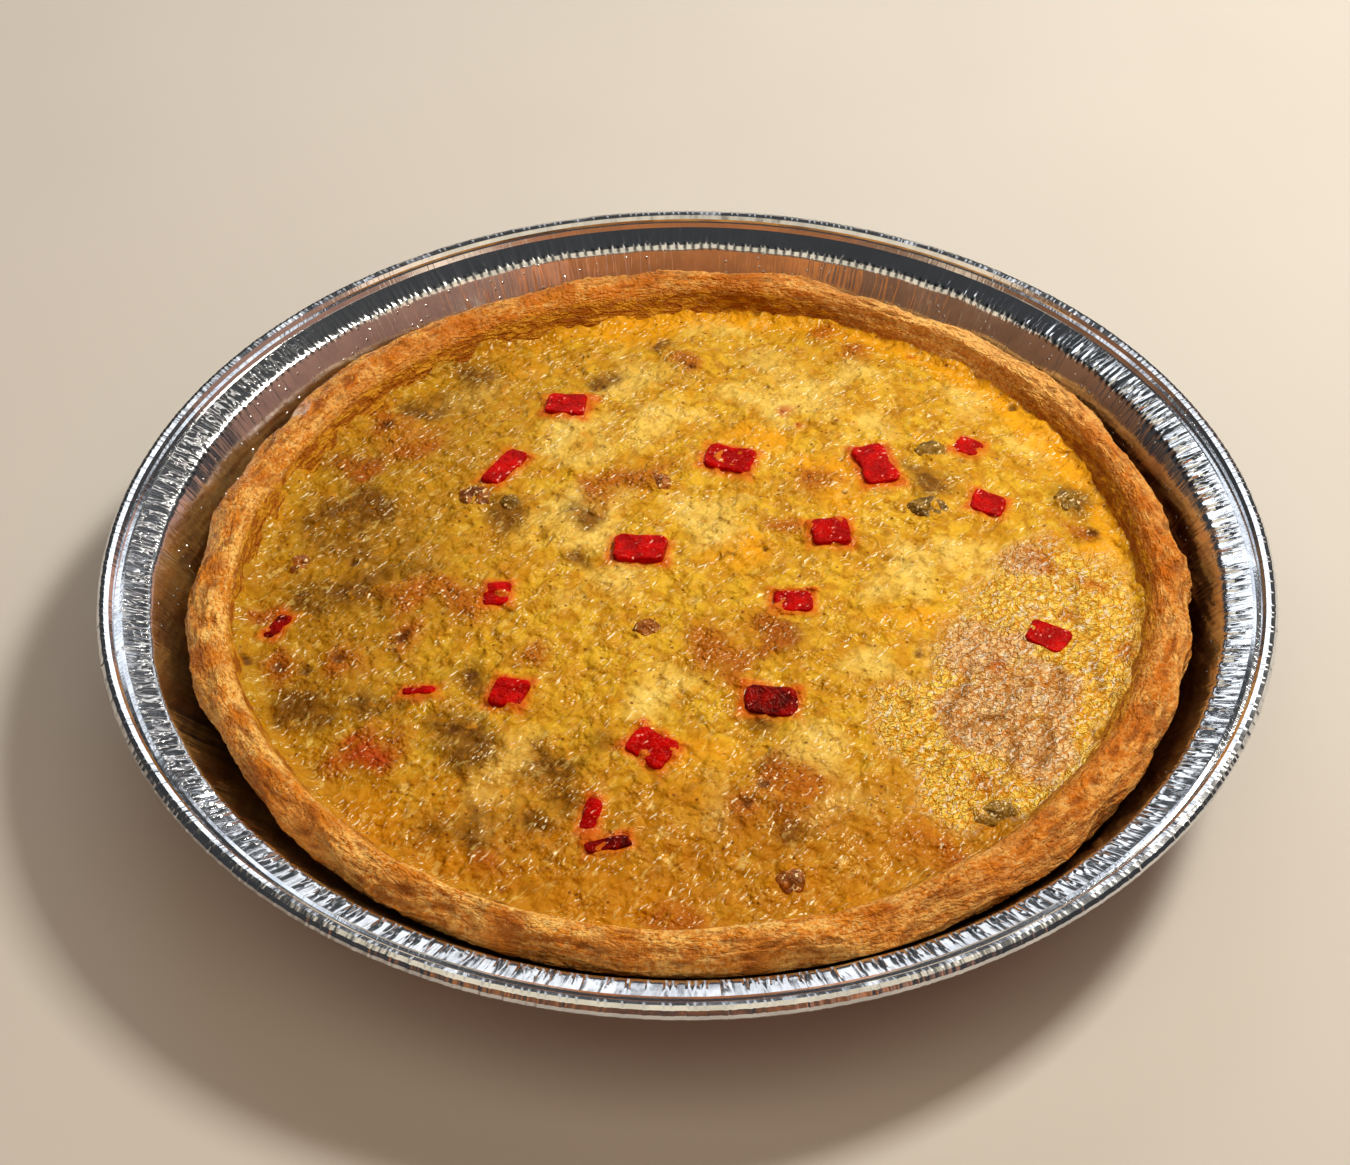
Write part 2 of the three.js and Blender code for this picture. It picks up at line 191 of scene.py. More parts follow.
fillingForm = {
    "radius": 90.35,
    "edgeHeight": 19.9,
    "rise": 6.8,
    "domePower": 2.6,
    "unevenness": 0.45,
}

# x, y, radius and height of the lumps under the cheese
lumps = [
    (-66, 51, 9, 1.0), (-6, 78, 8, 0.9), (2, 69, 6, 0.9), (45, 72, 9, 1.1), (65, 51, 9, 1.0),
    (-45, -48, 9, 0.8), (14, -64, 11, 1.0), (74, 3, 8, 1.0), (20, -28, 9, 0.8), (-70, -34, 9, 0.7),
]


def fillingReach(x, y):
    # how far the filling goes from its middle in the direction of a place
    angle = np.arctan2(y - pieMiddle[1], x - pieMiddle[0])
    return fillingForm["radius"] + np.maximum(0.0, ringAt(angle, ringInner))


def surfaceHeight(x, y):
    form = fillingForm
    radius = np.hypot(x - pieMiddle[0], y - pieMiddle[1])
    share = np.minimum(1.0, radius / fillingReach(x, y))
    edgeFade = np.minimum(1.0, (1 - share) * 6)
    height = form["edgeHeight"] + form["rise"] * (1 - share ** form["domePower"])
    height = height + form["unevenness"] * edgeFade * fillingWaves(x, y)
    for lumpX, lumpY, lumpRadius, lumpHeight in lumps:
        away = np.hypot(x - lumpX, y - lumpY) / lumpRadius
        height = height + lumpHeight * edgeFade * np.exp(-away * away * 1.6)
    return height


def surfaceNormal(x, y):
    step = 2.5
    slopeX = (surfaceHeight(x + step, y) - surfaceHeight(x - step, y)) / (2 * step)
    slopeY = (surfaceHeight(x, y + step) - surfaceHeight(x, y - step)) / (2 * step)
    return Vector((-float(slopeX), -float(slopeY), 1)).normalized()


# Camera, lights and floor

view = {
    "place": (-2.44, -411.13, 402.05),
    "forward": (0.0, 0.732556, -0.680707),
    "right": (0.999960, -0.006056, -0.006518),
    "lens": 72,
    "film": 36,
}
cameraData = bpy.data.cameras.new("camera")
cameraData.lens = view["lens"]
cameraData.sensor_width = view["film"]
cameraData.clip_start = 0.01
camera = bpy.data.objects.new("camera", cameraData)
bpy.context.scene.collection.objects.link(camera)
forward = Vector(view["forward"]).normalized()
right = Vector(view["right"]).normalized()
up = right.cross(forward)
turned = Matrix((right, up, -forward)).transposed().to_4x4()
camera.matrix_world = Matrix.Translation(Vector(view["place"]) * mm) @ turned
bpy.context.scene.camera = camera

# for each light: azimuth from the back towards the right and elevation in degrees, distance and
# size in metres, power in watts, tint
lights = {
    "keyLight": (56, 52, 0.95, (0.19, 0.19), 8.4, (1.0, 0.93, 0.80)),
    "backLight": (-14, 43, 0.95, (0.60, 0.26), 1.0, (0.94, 0.97, 1.0)),
    "rimLight": (33, 30, 0.95, (0.34, 0.18), 0.05, (1.0, 0.98, 0.95)),
    "lowStrip": (4, 17.5, 0.95, (0.8, 0.12), 0.45, (0.97, 0.98, 1.0)),
    "fillLight": (184, 74, 1.6, (3.2, 1.1), 10.5, (1.0, 0.86, 0.62)),
    # the foil mirrors these, as it mirrors the room in front of it
    "warmCard": (180, 37, 1.6, (1.8, 0.8), 2.2, (1.0, 0.27, 0.01)),
    "warmCardLeft": (248, 35, 1.6, (2.6, 0.8), 1.4, (1.0, 0.34, 0.05)),
    "warmCardRight": (112, 35, 1.6, (2.6, 0.8), 2.3, (1.0, 0.46, 0.28)),
    "lowCardRight": (52, 4, 1.6, (1.3, 0.42), 1.1, (1.0, 0.50, 0.34)),
    "lowCardLeft": (-52, 4, 1.6, (1.3, 0.42), 0.35, (1.0, 0.42, 0.08)),
}
for name, (azimuth, elevation, away, size, power, tint) in lights.items():
    turn, rise = math.radians(azimuth), math.radians(elevation)
    towards = Vector((math.sin(turn) * math.cos(rise), math.cos(turn) * math.cos(rise), math.sin(rise)))
    lampData = bpy.data.lights.new(name, "AREA")
    lampData.shape = "RECTANGLE"
    lampData.size, lampData.size_y = size
    lampData.energy = power
    lampData.color = tint
    lamp = bpy.data.objects.new(name, lampData)
    bpy.context.scene.collection.objects.link(lamp)
    lamp.location = towards * away
    lamp.rotation_euler = towards.to_track_quat("Z", "Y").to_euler()

world = bpy.data.worlds.new("studio")
world.use_nodes = True
backdrop = world.node_tree.nodes["Background"]
backdrop.inputs["Color"].default_value = (0.92, 0.95, 1.0, 1)
backdrop.inputs["Strength"].default_value = 0.05
bpy.context.scene.world = world
bpy.context.scene.view_settings.view_transform = "Standard"
print("camera and lights are set")


# Shader maths written as expressions

class Wire:
    def __init__(self, tree, socket=None):
        self.tree = tree
        self.socket = socket

    def node(self, kind, settings=None, inputs=None, output=0):
        made = self.tree.nodes.new(kind)
        for name, value in (settings or {}).items():
            setattr(made, name, value)
        for name, value in (inputs or {}).items():
            if isinstance(value, Wire):
                self.tree.links.new(value.socket, made.inputs[name])
            else:
                made.inputs[name].default_value = value
        return Wire(self.tree, made.outputs[output] if len(made.outputs) else None)

    def maths(self, operation, *values):
        return self.node("ShaderNodeMath", {"operation": operation}, dict(enumerate(values)))

    def __add__(self, other):
        return self.maths("ADD", self, other)

    def __sub__(self, other):
        return self.maths("SUBTRACT", self, other)

    def __rsub__(self, other):
        return self.maths("SUBTRACT", other, self)

    def __mul__(self, other):
        return self.maths("MULTIPLY", self, other)

    def __truediv__(self, other):
        return self.maths("DIVIDE", self, other)

    def __rtruediv__(self, other):
        return self.maths("DIVIDE", other, self)

    def __abs__(self):
        return self.maths("ABSOLUTE", self)

    __radd__ = __add__
    __rmul__ = __mul__

    def held(self):
        return self.node("ShaderNodeClamp", None, {"Value": self})

    def between(self, low, high):
        limits = {"Value": self, "From Min": low, "From Max": high, "To Min": 0.0, "To Max": 1.0}
        return self.node("ShaderNodeMapRange", {"interpolation_type": "SMOOTHSTEP"}, limits)

    def noise(self, at, size, detail=3.0, rough=0.55, twist=0.0):
        inputs = {"Vector": at, "Scale": 1 / size, "Detail": detail, "Roughness": rough, "Distortion": twist}
        return self.node("ShaderNodeTexNoise", None, inputs, "Fac")

    def noiseColour(self, at, size):
        return self.node("ShaderNodeTexNoise", None, {"Vector": at, "Scale": 1 / size}, "Color")

    def litSides(self, at, step, size, twist=0.0):
        # the sides of a pattern's ridges that face the key light, where glints are painted into the colour
        further = self.noise(self.move("ADD", at, step), size, 1, 0.5, twist)
        return further - self.noise(at, size, 1, 0.5, twist)

    def cells(self, at, size, feature="F1"):
        inputs = {"Vector": at, "Scale": 1 / size}
        return self.node("ShaderNodeTexVoronoi", {"feature": feature}, inputs, "Distance")

    def painted(self, name):
        return self.node("ShaderNodeAttribute", {"attribute_name": name}, None, "Fac")

    def broken(self, name, strength, breaking, threshold):
        # a painted patch whose edge a pattern breaks up
        return (self.painted(name) * strength + breaking - threshold).held()

    def blend(self, share, first, second):
        inputs = {0: share, 6: first, 7: second}
        return self.node("ShaderNodeMix", {"data_type": "RGBA"}, inputs, 2)

    def layered(self, tone, layers):
        # colours laid over each other, each with its own share
        for share, shade in layers:
            tone = self.blend(share, tone, shade if isinstance(shade, Wire) else colour(*shade))
        return tone

    def move(self, operation, first, second):
        return self.node("ShaderNodeVectorMath", {"operation": operation}, {0: first, 1: second})

    def scaled(self, vector, factor):
        return self.node("ShaderNodeVectorMath", {"operation": "SCALE"}, {0: vector, "Scale": factor})

    def millimetres(self):
        return self.scaled(self.node("ShaderNodeTexCoord", None, None, "Object"), 1000.0)

    def slanted(self, at, turn, stretch):
        # coordinates that draw a pattern out along a slant
        inputs = {"Vector": at, "Rotation": (0, 0, turn), "Scale": (stretch, 1, 1)}
        return self.node("ShaderNodeMapping", {"vector_type": "TEXTURE"}, inputs)

    def flatReach(self, at):
        # a place seen from above, and how far it lies from the middle
        flat = self.move("MULTIPLY", at, (1, 1, 0))
        return flat, self.node("ShaderNodeVectorMath", {"operation": "LENGTH"}, {0: flat}, "Value")

    def ringwise(self, at, ring, squeeze, rise):
        # coordinates that run round a ring: lengths round it are squeezed, heights are times `rise`
        flat, reach = self.flatReach(at)
        turned = self.scaled(flat, (reach - ring + ring * squeeze) / reach)
        return self.move("ADD", turned, self.move("MULTIPLY", at, (0, 0, rise)))

    def ringStrokes(self, at, ring, along):
        # coordinates in which a pattern turns into strokes that cross the ring
        flat, reach = self.flatReach(at)
        rise = self.node("ShaderNodeCombineXYZ", None, {"Z": reach * along})
        return self.move("ADD", self.scaled(flat, ring / reach), rise)

    def bump(self, height, strength=1.0):
        return self.node("ShaderNodeBump", None, {"Height": height, "Strength": strength, "Distance": mm})


def colour(red, green, blue):
    # screen values from 0 to 255 as Blender's linear colour
    def line(value):
        share = value / 255
        return share / 12.92 if share <= 0.04045 else ((share + 0.055) / 1.055) ** 2.4
    return (line(red), line(green), line(blue), 1)


def newFinish(name):
    finish = bpy.data.materials.new(name)
    finish.use_nodes = True
    finish.node_tree.nodes.clear()
    return finish, Wire(finish.node_tree)


def closeFinish(wire, inputs):
    shader = wire.node("ShaderNodeBsdfPrincipled", None, inputs)
    wire.node("ShaderNodeOutputMaterial", None, {"Surface": shader})


def makeFloorFinish():
    finish, wire = newFinish("paleFloor")
    at = wire.millimetres()
    tone = wire.blend(wire.noise(at, 90, 2), colour(196, 193, 188), colour(203, 200, 195))
    closeFinish(wire, {"Base Color": tone, "Roughness": 0.75})
    return finish


deselectAll()
bpy.ops.mesh.primitive_plane_add(size=6.0)
floor = bpy.context.active_object
floor.name = "floor"
floor.data.materials.append(makeFloorFinish())


# The toppings: where each lies, its length and width, its turn in degrees, its waist, how much of
# it has cheese baked over it and how far it stands out

toppingFields = ("x", "y", "long", "wide", "turn", "waist", "film", "proud")
pepperSpots = [dict(zip(toppingFields, row)) for row in [
    (-26.0, 52.7, 10.6, 9.0, -10, 0.06, 0.25, 1.1),
    (-38.9, 30.6, 12.8, 5.6, 58, 0.0, 0.1, 1.2),
    (9.4, 31.8, 12.0, 9.0, -18, 0.12, 0.4, 1.0),
    (40.9, 30.3, 15.4, 9.2, -78, 0.22, 0.1, 1.3),
    (61.6, 39.1, 7.4, 6.2, 62, 0.0, 0.45, 0.9),
    (64.1, 19.7, 8.2, 7.6, -20, 0.05, 0.35, 1.0),
    (30.0, 7.8, 9.8, 8.0, 4, 0.05, 0.5, 1.0),
    (-9.7, 2.4, 12.6, 8.4, -6, 0.03, 0.05, 1.4),
    (-38.6, -9.5, 7.0, 6.2, 88, 0.0, 0.6, 0.8),
    (21.5, -12.9, 9.4, 7.0, -2, 0.04, 0.55, 1.0),
    (72.4, -20.9, 9.6, 7.8, -28, 0.04, 0.2, 1.1),
    (15.9, -40.1, 11.8, 7.8, -5, 0.0, 0.2, 1.3),
    (-35.3, -37.3, 8.8, 7.8, 72, 0.0, 0.3, 1.1),
    (-53.3, -35.3, 8.0, 2.4, -4, 0.0, 0.5, 0.4),
    (-7.3, -52.2, 10.2, 8.2, -38, 0.1, 0.45, 1.0),
    (-83.4, -13.3, 7.4, 3.4, 58, 0.0, 0.4, 0.6),
    (-18.6, -68.0, 8.6, 3.6, 78, 0.0, 0.6, 0.5),
    (-15.4, -75.2, 9.4, 3.2, 12, 0.0, 0.2, 0.7),
]]
darkPeppers = (12, 16, 18)
searedSpots = [dict(zip(toppingFields, row)) for row in [
    (-44.6, 21.8, 8.4, 6.6, -15),
    (-8.3, -20.4, 6.4, 5.2, 20),
    (18.6, -82.9, 7.0, 5.6, 0),
    (-80.9, 5.3, 6.6, 4.2, 70),
    (-6.0, 24.2, 7.2, 5.4, -25),
]]
oliveSpots = [dict(zip(toppingFields, row)) for row in [
    (-37.4, 19.6, 5.0, 4.4, 10),
    (51.2, 16.8, 9.6, 6.4, 10),
    (53.4, 37.3, 8.4, 6.0, 20),
    (58.0, -66.4, 10.2, 6.0, 32),
    (81.6, 23.0, 6.4, 7.8, 0),
]]


def placeOnSurface(piece, spot):
    upright = Vector((0, 0, 1)).rotation_difference(surfaceNormal(spot["x"], spot["y"]))
    turn = Matrix.Rotation(math.radians(spot["turn"]), 4, "Z")
    height = float(surfaceHeight(spot["x"], spot["y"]))
    place = Matrix.Translation(Vector((spot["x"], spot["y"], height)) * mm)
    piece.matrix_world = place @ upright.to_matrix().to_4x4() @ turn
    takeUp(piece)
    bpy.ops.object.transform_apply(location=True, rotation=True, scale=True)


# Finishes of the food

def makeFillingFinish():
    finish, wire = newFinish("bakedCheese")
    at = wire.millimetres()
    # the melted shreds lie slanting, so some patterns are drawn out along them
    slanted = wire.slanted(at, 0.85, 2.2)
    cloud = wire.noise(at, 10, 3, 0.6, 0.4)
    curd = wire.noise(at, 3.8, 3, 0.62, 0.5)
    shreds = wire.noise(slanted, 1.5, 3, 0.6, 0.8)
    crumb = wire.noise(at, 1.5, 3, 0.62, 0.3)
    lumpy = wire.noise(at, 2.8, 0, 0.5, 0.6)
    strands = wire.noise(slanted, 1.3, 1, 0.5, 1.0)
    olive = wire.broken("olive", 1.4, curd * 1.3 + crumb * 0.9, 1.38)
    toast = wire.broken("toast", 1.45, curd * 1.4 + crumb * 0.9, 1.46)
    char = wire.broken("char", 1.7, crumb * 1.2, 1.15)
    amber = wire.noise(at, 2.6, 3, 0.6, 0.6).between(0.58, 0.68)
    smudge = wire.noise(slanted, 2.4, 3, 0.6, 0.6).between(0.58, 0.68)
    smear = wire.noise(at, 1.3, 3, 0.6, 0.4).between(0.60, 0.70)
    spread = wire.noise(at, 7, 2).between(0.46, 0.60)
    speck = 1 - wire.cells(at, 1.7).between(0.08, 0.20)
    crumbDot = 1 - wire.cells(at, 3.4).between(0.07, 0.13)
    # painted highlights: beads and short strings of glinting light along the strands, painted into the
    # colour where the cheese is wet
    wet = wire.noise(at, 4.5, 2).between(0.44, 0.60)
    beads = wire.noise(at, 0.9, 1).between(0.44, 0.56)
    paintedGlint = wire.litSides(slanted, (0, 0.35, 0), 1.3, 1.0).between(0.10, 0.16) * beads

    tone = wire.blend(curd.between(0.38, 0.60), colour(186, 130, 6), colour(216, 170, 34))
    tone = wire.layered(tone, [
        (cloud.between(0.48, 0.60) * 0.5, (192, 130, 4)),
        (wire.broken("pale", 1.25, curd * 0.8 + shreds * 0.4, 0.95) * 0.95, (234, 202, 98)),
        (wire.broken("yolk", 1.4, crumb * 0.9, 0.80) * 0.95, (226, 156, 0)),
        # painted light: the climbing edge at the back right lightened to egg yellow
        (wire.broken("edge", 1.3, crumb * 0.6, 0.5) * 0.7, (232, 160, 4)),
        # painted shade with a darker olive tone towards the left, the near side and the back
        (wire.broken("shadeAndDarkTone", 0.9, cloud * 0.4, 0.25) * 0.75, (158, 108, 6)),
        (wire.broken("baked", 0.9, crumb * 0.6, 0.35) * 0.6, (176, 98, 0)),
        (olive * 0.95, (106, 62, 0)),
        (toast * 0.88, (168, 84, 2)),
        (shreds.between(0.56, 0.68) * (1 - toast) * 0.4, (236, 210, 120)),
        ((1 - shreds.between(0.32, 0.44)) * 0.3, (186, 122, 4)),
        (amber * 0.45, (214, 142, 2)),
        (smudge * (0.2 + cloud.between(0.4, 0.6) * 0.4), (148, 96, 4)),
        (smear * (0.2 + toast * 0.8), (146, 74, 4)),
        (speck * (spread * 0.75 + toast * 0.8 + olive * 0.5).held() * 0.85, (110, 50, 4)),
        (crumbDot * 0.8, (104, 48, 6)),
        (char * 0.85, (84, 40, 6)),
        (wire.broken("red", 1.5, crumb * 0.9, 0.80) * 0.65, (176, 36, 4)),
        (wire.painted("stain") * 0.6, (212, 96, 4)),
        # painted highlights, cream white, in the wet and browned clusters
        (paintedGlint * (wet + toast * 0.5).held() * 0.85, (255, 246, 212)),
    ])

    # the wrinkled skin: small plates with seams and wrinkles between them
    skinShare = wire.broken("skin", 1.7, curd * 0.9, 1.0)
    plates = wire.slanted(at, 0.9, 1.5)
    wrinkled = wire.move("ADD", plates, wire.scaled(wire.noiseColour(at, 1.9), 2.6))
    seam = wire.cells(wrinkled, 1.8, "DISTANCE_TO_EDGE")
    wrinkle = abs(wire.noise(plates, 1.4, 1, 0.5, 1.6) - 0.5)
    plate = seam.between(0.02, 0.13) * (wrinkle.between(0.004, 0.04) * 0.75 + 0.25)
    tan = wire.blend(curd.between(0.38, 0.62), colour(222, 172, 104), colour(248, 210, 148))
    tan = wire.blend(plate * 0.9 + 0.1, colour(196, 116, 24), tan)
    yellow = wire.blend(plate, colour(216, 144, 8), colour(250, 212, 92))
    # painted highlights on the sides of the skin's wrinkles that face the key light
    paintedSkinGlint = wire.litSides(wrinkled, (0, 0.4, 0), 1.4, 0.6).between(0.08, 0.13)
    skinTone = wire.layered(wire.blend(wire.painted("yellowSkin"), tan, yellow), [
        (wire.broken("rust", 1.3, crumb * 0.8, 0.7) * 0.75, (186, 84, 6)),
        (char * 0.6, (150, 76, 20)),
        # painted shade in the skin's furrows
        (wire.broken("furrowShade", 1.2, crumb * 0.6, 0.5) * 0.7, (150, 90, 16)),
        (paintedSkinGlint * 0.6, (255, 248, 228)),
    ])

    knobs = 1 - wire.cells(at, 2.6)
    bubbles = 1 - wire.cells(at, 0.9)
    foamy = wire.noise(at, 6, 2).between(0.44, 0.60)
    cheese = knobs * 0.2 + lumpy * 1.1 + strands * 0.5 + crumb * 0.18
    cheese = cheese + bubbles * (foamy * 0.34 + toast * 0.30).held()
    plateHeight = seam.between(0.0, 0.25) * 0.22 + wrinkle * 2.4 + lumpy * 1.2 + crumb * 0.2
    closeFinish(wire, {
        "Base Color": wire.blend(skinShare, tone, skinTone),
        "Roughness": 0.62 - (wet + skinShare * 0.8).held() * 0.37,
        "Specular IOR Level": 0.28,
        "Specular Tint": (1, 0.80, 0.32, 1),
        "Normal": wire.bump(cheese * (1 - skinShare) + plateHeight * skinShare, 0.9),
    })
    return finish


def makePastryFinish():
    finish, wire = newFinish("bakedPastry")
    at = wire.millimetres()
    lying = wire.ringwise(at, crustLook["crestRadius"], 0.45, 1.3)
    drawnOut = wire.ringwise(at, crustLook["crestRadius"], 0.16, 1.5)
    cloud = wire.noise(at, 7, 4, 0.65, 0.5)
    cloudy = cloud.between(0.4, 0.6)
    blotch = wire.noise(lying, 4.5, 4, 0.62, 0.8)
    crumb = wire.noise(lying, 1.7, 4, 0.65, 0.5)
    rind = wire.noise(drawnOut, 0.75, 3, 0.6, 0.6)
    grains = wire.noise(at, 0.8, 1, 0.6)
    pits = 1 - wire.cells(lying, 1.5).between(0.10, 0.28)
    glaze = wire.broken("glaze", 1.5, crumb, 0.75)
    glazeTone = wire.blend(cloudy, colour(214, 128, 26), colour(166, 84, 6))
    oilTone = wire.blend(crumb.between(0.42, 0.62), colour(156, 84, 4), colour(204, 142, 28))
    tone = wire.blend(blotch.between(0.42, 0.60), colour(252, 196, 100), colour(228, 144, 40))
    tone = wire.layered(tone, [
        (crumb.between(0.52, 0.64) * 0.65, (192, 104, 14)),
        ((1 - crumb.between(0.34, 0.45)) * 0.7, (252, 212, 128)),
        (rind.between(0.56, 0.66) * 0.4, (170, 88, 12)),
        ((1 - rind.between(0.34, 0.44)) * 0.45, (255, 220, 142)),
        ((grains.between(0.54, 0.66) + pits).held() * 0.5, (160, 76, 6)),
        ((1 - grains.between(0.34, 0.46)) * 0.6, (255, 222, 146)),
        (wire.broken("toasted", 1.1, cloudy * 0.5, 0.35) * 0.7, (190, 96, 4)),
        (glaze * 0.85, glazeTone),
        (wire.painted("roasted") * (0.4 + cloudy * 0.4), (190, 98, 2)),
        (wire.painted("outside") * 0.3, (206, 138, 66)),
        (wire.painted("pastryPale") * 0.55, (248, 196, 118)),
        # painted shade under the flaky layers
        (wire.painted("ledge") * 0.6, (120, 52, 8)),
        # painted shade in the folds' troughs
        (wire.painted("creviceShade") * 0.6, (118, 52, 5)),
        # painted shade low on the outer wall
        (wire.painted("low") * 0.9, (58, 26, 7)),
        (wire.broken("oily", 1.5, grains * 0.9, 0.6), oilTone),
    ])
    torn = abs(wire.noise(lying, 1.5, 1, 0.6, 0.8) - 0.5)
    flaky = 1 - abs(crumb - 0.5) * 3.0
    height = flaky * 0.3 + crumb * 0.3 + rind * 0.5 + grains * 0.6 + torn * 1.7 - pits * 0.10
    closeFinish(wire, {
        "Base Color": tone,
        "Roughness": 0.52 - glaze * 0.20 - wire.painted("oily") * 0.18,
        "Specular IOR Level": 0.18,
        "Specular Tint": (1, 0.76, 0.42, 1),
        "Normal": wire.bump(height, 0.9),
    })
    return finish


def makeFoilFinish():
    finish, wire = newFinish("thinFoil")
    at = wire.millimetres()
    ring = tinLook["flangeMiddle"]
    # strokes run across the flange and up the wall, a little slanting here and there
    sway = wire.noiseColour(wire.move("MULTIPLY", at, (1, 1, 0)), 5.0)
    lean = wire.scaled(wire.move("SUBTRACT", sway, (0.5, 0.5, 0.5)), 1.2)
    strokesAt = wire.move("ADD", wire.ringStrokes(at, ring, 0.04), lean)
    strokes = wire.noise(strokesAt, 0.95, 1, 0.4)
    fineStrokes = wire.noise(strokesAt, 0.45, 1, 0.4)
    smear = wire.noise(at, 6, 2)
    # thin crinkles that curl across the flange, and small dints in the wall
    curled = wire.move("ADD", wire.ringStrokes(at, ring, 0.30), lean)
    crinkle = 1 - abs(wire.noise(curled, 1.3, 2, 0.5, 0.8) - 0.5).between(0.01, 0.036)
    thin = crinkle * wire.painted("creased")
    dull = (wire.painted("crimp") + thin * 0.6).held()
    wall = wire.painted("wall")
    dints = (1 - wire.cells(at, 2.3).between(0.06, 0.15)) * wall
    drawn = (strokes.between(0.50, 0.66) * 0.013 + fineStrokes * 0.008) * (1 + wall * 1.6)
    tone = wire.blend(smear.between(0.35, 0.65), colour(226, 228, 232), colour(208, 211, 216))
    tone = wire.layered(tone, [
        # painted shade and dark reflection on the lower wall
        (wire.painted("paintedWallShade") * 0.85, (86, 38, 7)),
        # painted dark bars between the shoulder's glints
        (wire.painted("shadeBetweenDots") * 0.9, (70, 72, 78)),
    ])
    closeFinish(wire, {
        "Base Color": tone,
        "Metallic": 1.0,
        "Roughness": 0.10 + smear * 0.06 + dull * 0.36,
        "Normal": wire.bump(drawn + smear * 0.04 + thin * 0.06 + dints * 0.10),
    })
    return finish


lightStep = (0.25, -0.22, 0)      # half way between the key light and the camera, seen from above


def makePepperFinish(name, bright, deep):
    finish, wire = newFinish(name)
    at = wire.millimetres()
    cloud = wire.noise(at, 3.2, 3)
    fine = wire.noise(at, 0.8, 2)
    # painted highlights, pink white, on the sides that face the key light
    paintedGlint = wire.litSides(at, lightStep, 1.5).between(0.08, 0.14)
    paintedGlint = paintedGlint * wire.noise(at, 3.5, 1).between(0.48, 0.60)
    tone = wire.blend(cloud.between(0.35, 0.68), colour(*deep), colour(*bright))
    tone = wire.layered(tone, [
        (fine.between(0.60, 0.74) * 0.3, (206, 48, 8)),
        (paintedGlint * 0.8, (250, 176, 160)),
    ])
    closeFinish(wire, {
        "Base Color": tone,
        "Roughness": 0.22,
        "Specular IOR Level": 0.08,
        "Specular Tint": (1, 0.26, 0.16, 1),
        "Normal": wire.bump(cloud * 0.8 + fine * 0.3, 0.9),
    })
    return finish


def makeBitFinish(name, light, dark, black):
    finish, wire = newFinish(name)
    at = wire.millimetres()
    cloud = wire.noise(at, 2.6, 3, 0.6)
    fine = wire.noise(at, 0.9, 2)
    # painted highlights, cream, on the sides that face the key light
    paintedGlint = wire.litSides(at, lightStep, 1.3).between(0.08, 0.14)
    tone = wire.blend(cloud.between(0.38, 0.62), colour(*dark), colour(*light))
    tone = wire.layered(tone, [
        (fine.between(0.56, 0.70) * 0.6, black),
        (paintedGlint * 0.8, (252, 226, 170)),
    ])
    closeFinish(wire, {
        "Base Color": tone,
        "Roughness": 0.30,
        "Specular IOR Level": 0.35,
        "Specular Tint": (1, 0.8, 0.5, 1),
        "Normal": wire.bump(cloud * 1.2 + fine * 0.4, 0.9),
    })
    return finish


# The filling: a fine disc shaped like the dome, with a skirt and an underside

fillingLook = {
    "cells": 308,          # quads along each side of the starting grid
    "edgeRadius": 93.8,
    "edgeClimb": 3.0,      # how far cheese clings up the pastry
    "underRadius": 82.5,
    "underHeight": 5.0,
    "swell": 0.45,
    "curds": 0.30,
    "lip": 0.40,           # cheese drawn up round each topping
    "skinFade": 6.0,       # how far the skin fades out past its outline
    "bitFilm": 0.5,        # a darker piece has this much cheese over it
    "bitProud": 0.8,
    # x, y and radius of the tan parts of the skin
    "tan": [(64, -24, 13), (56, -30, 10), (66, -42, 13), (54, -44, 9), (70, 3, 6)],
}

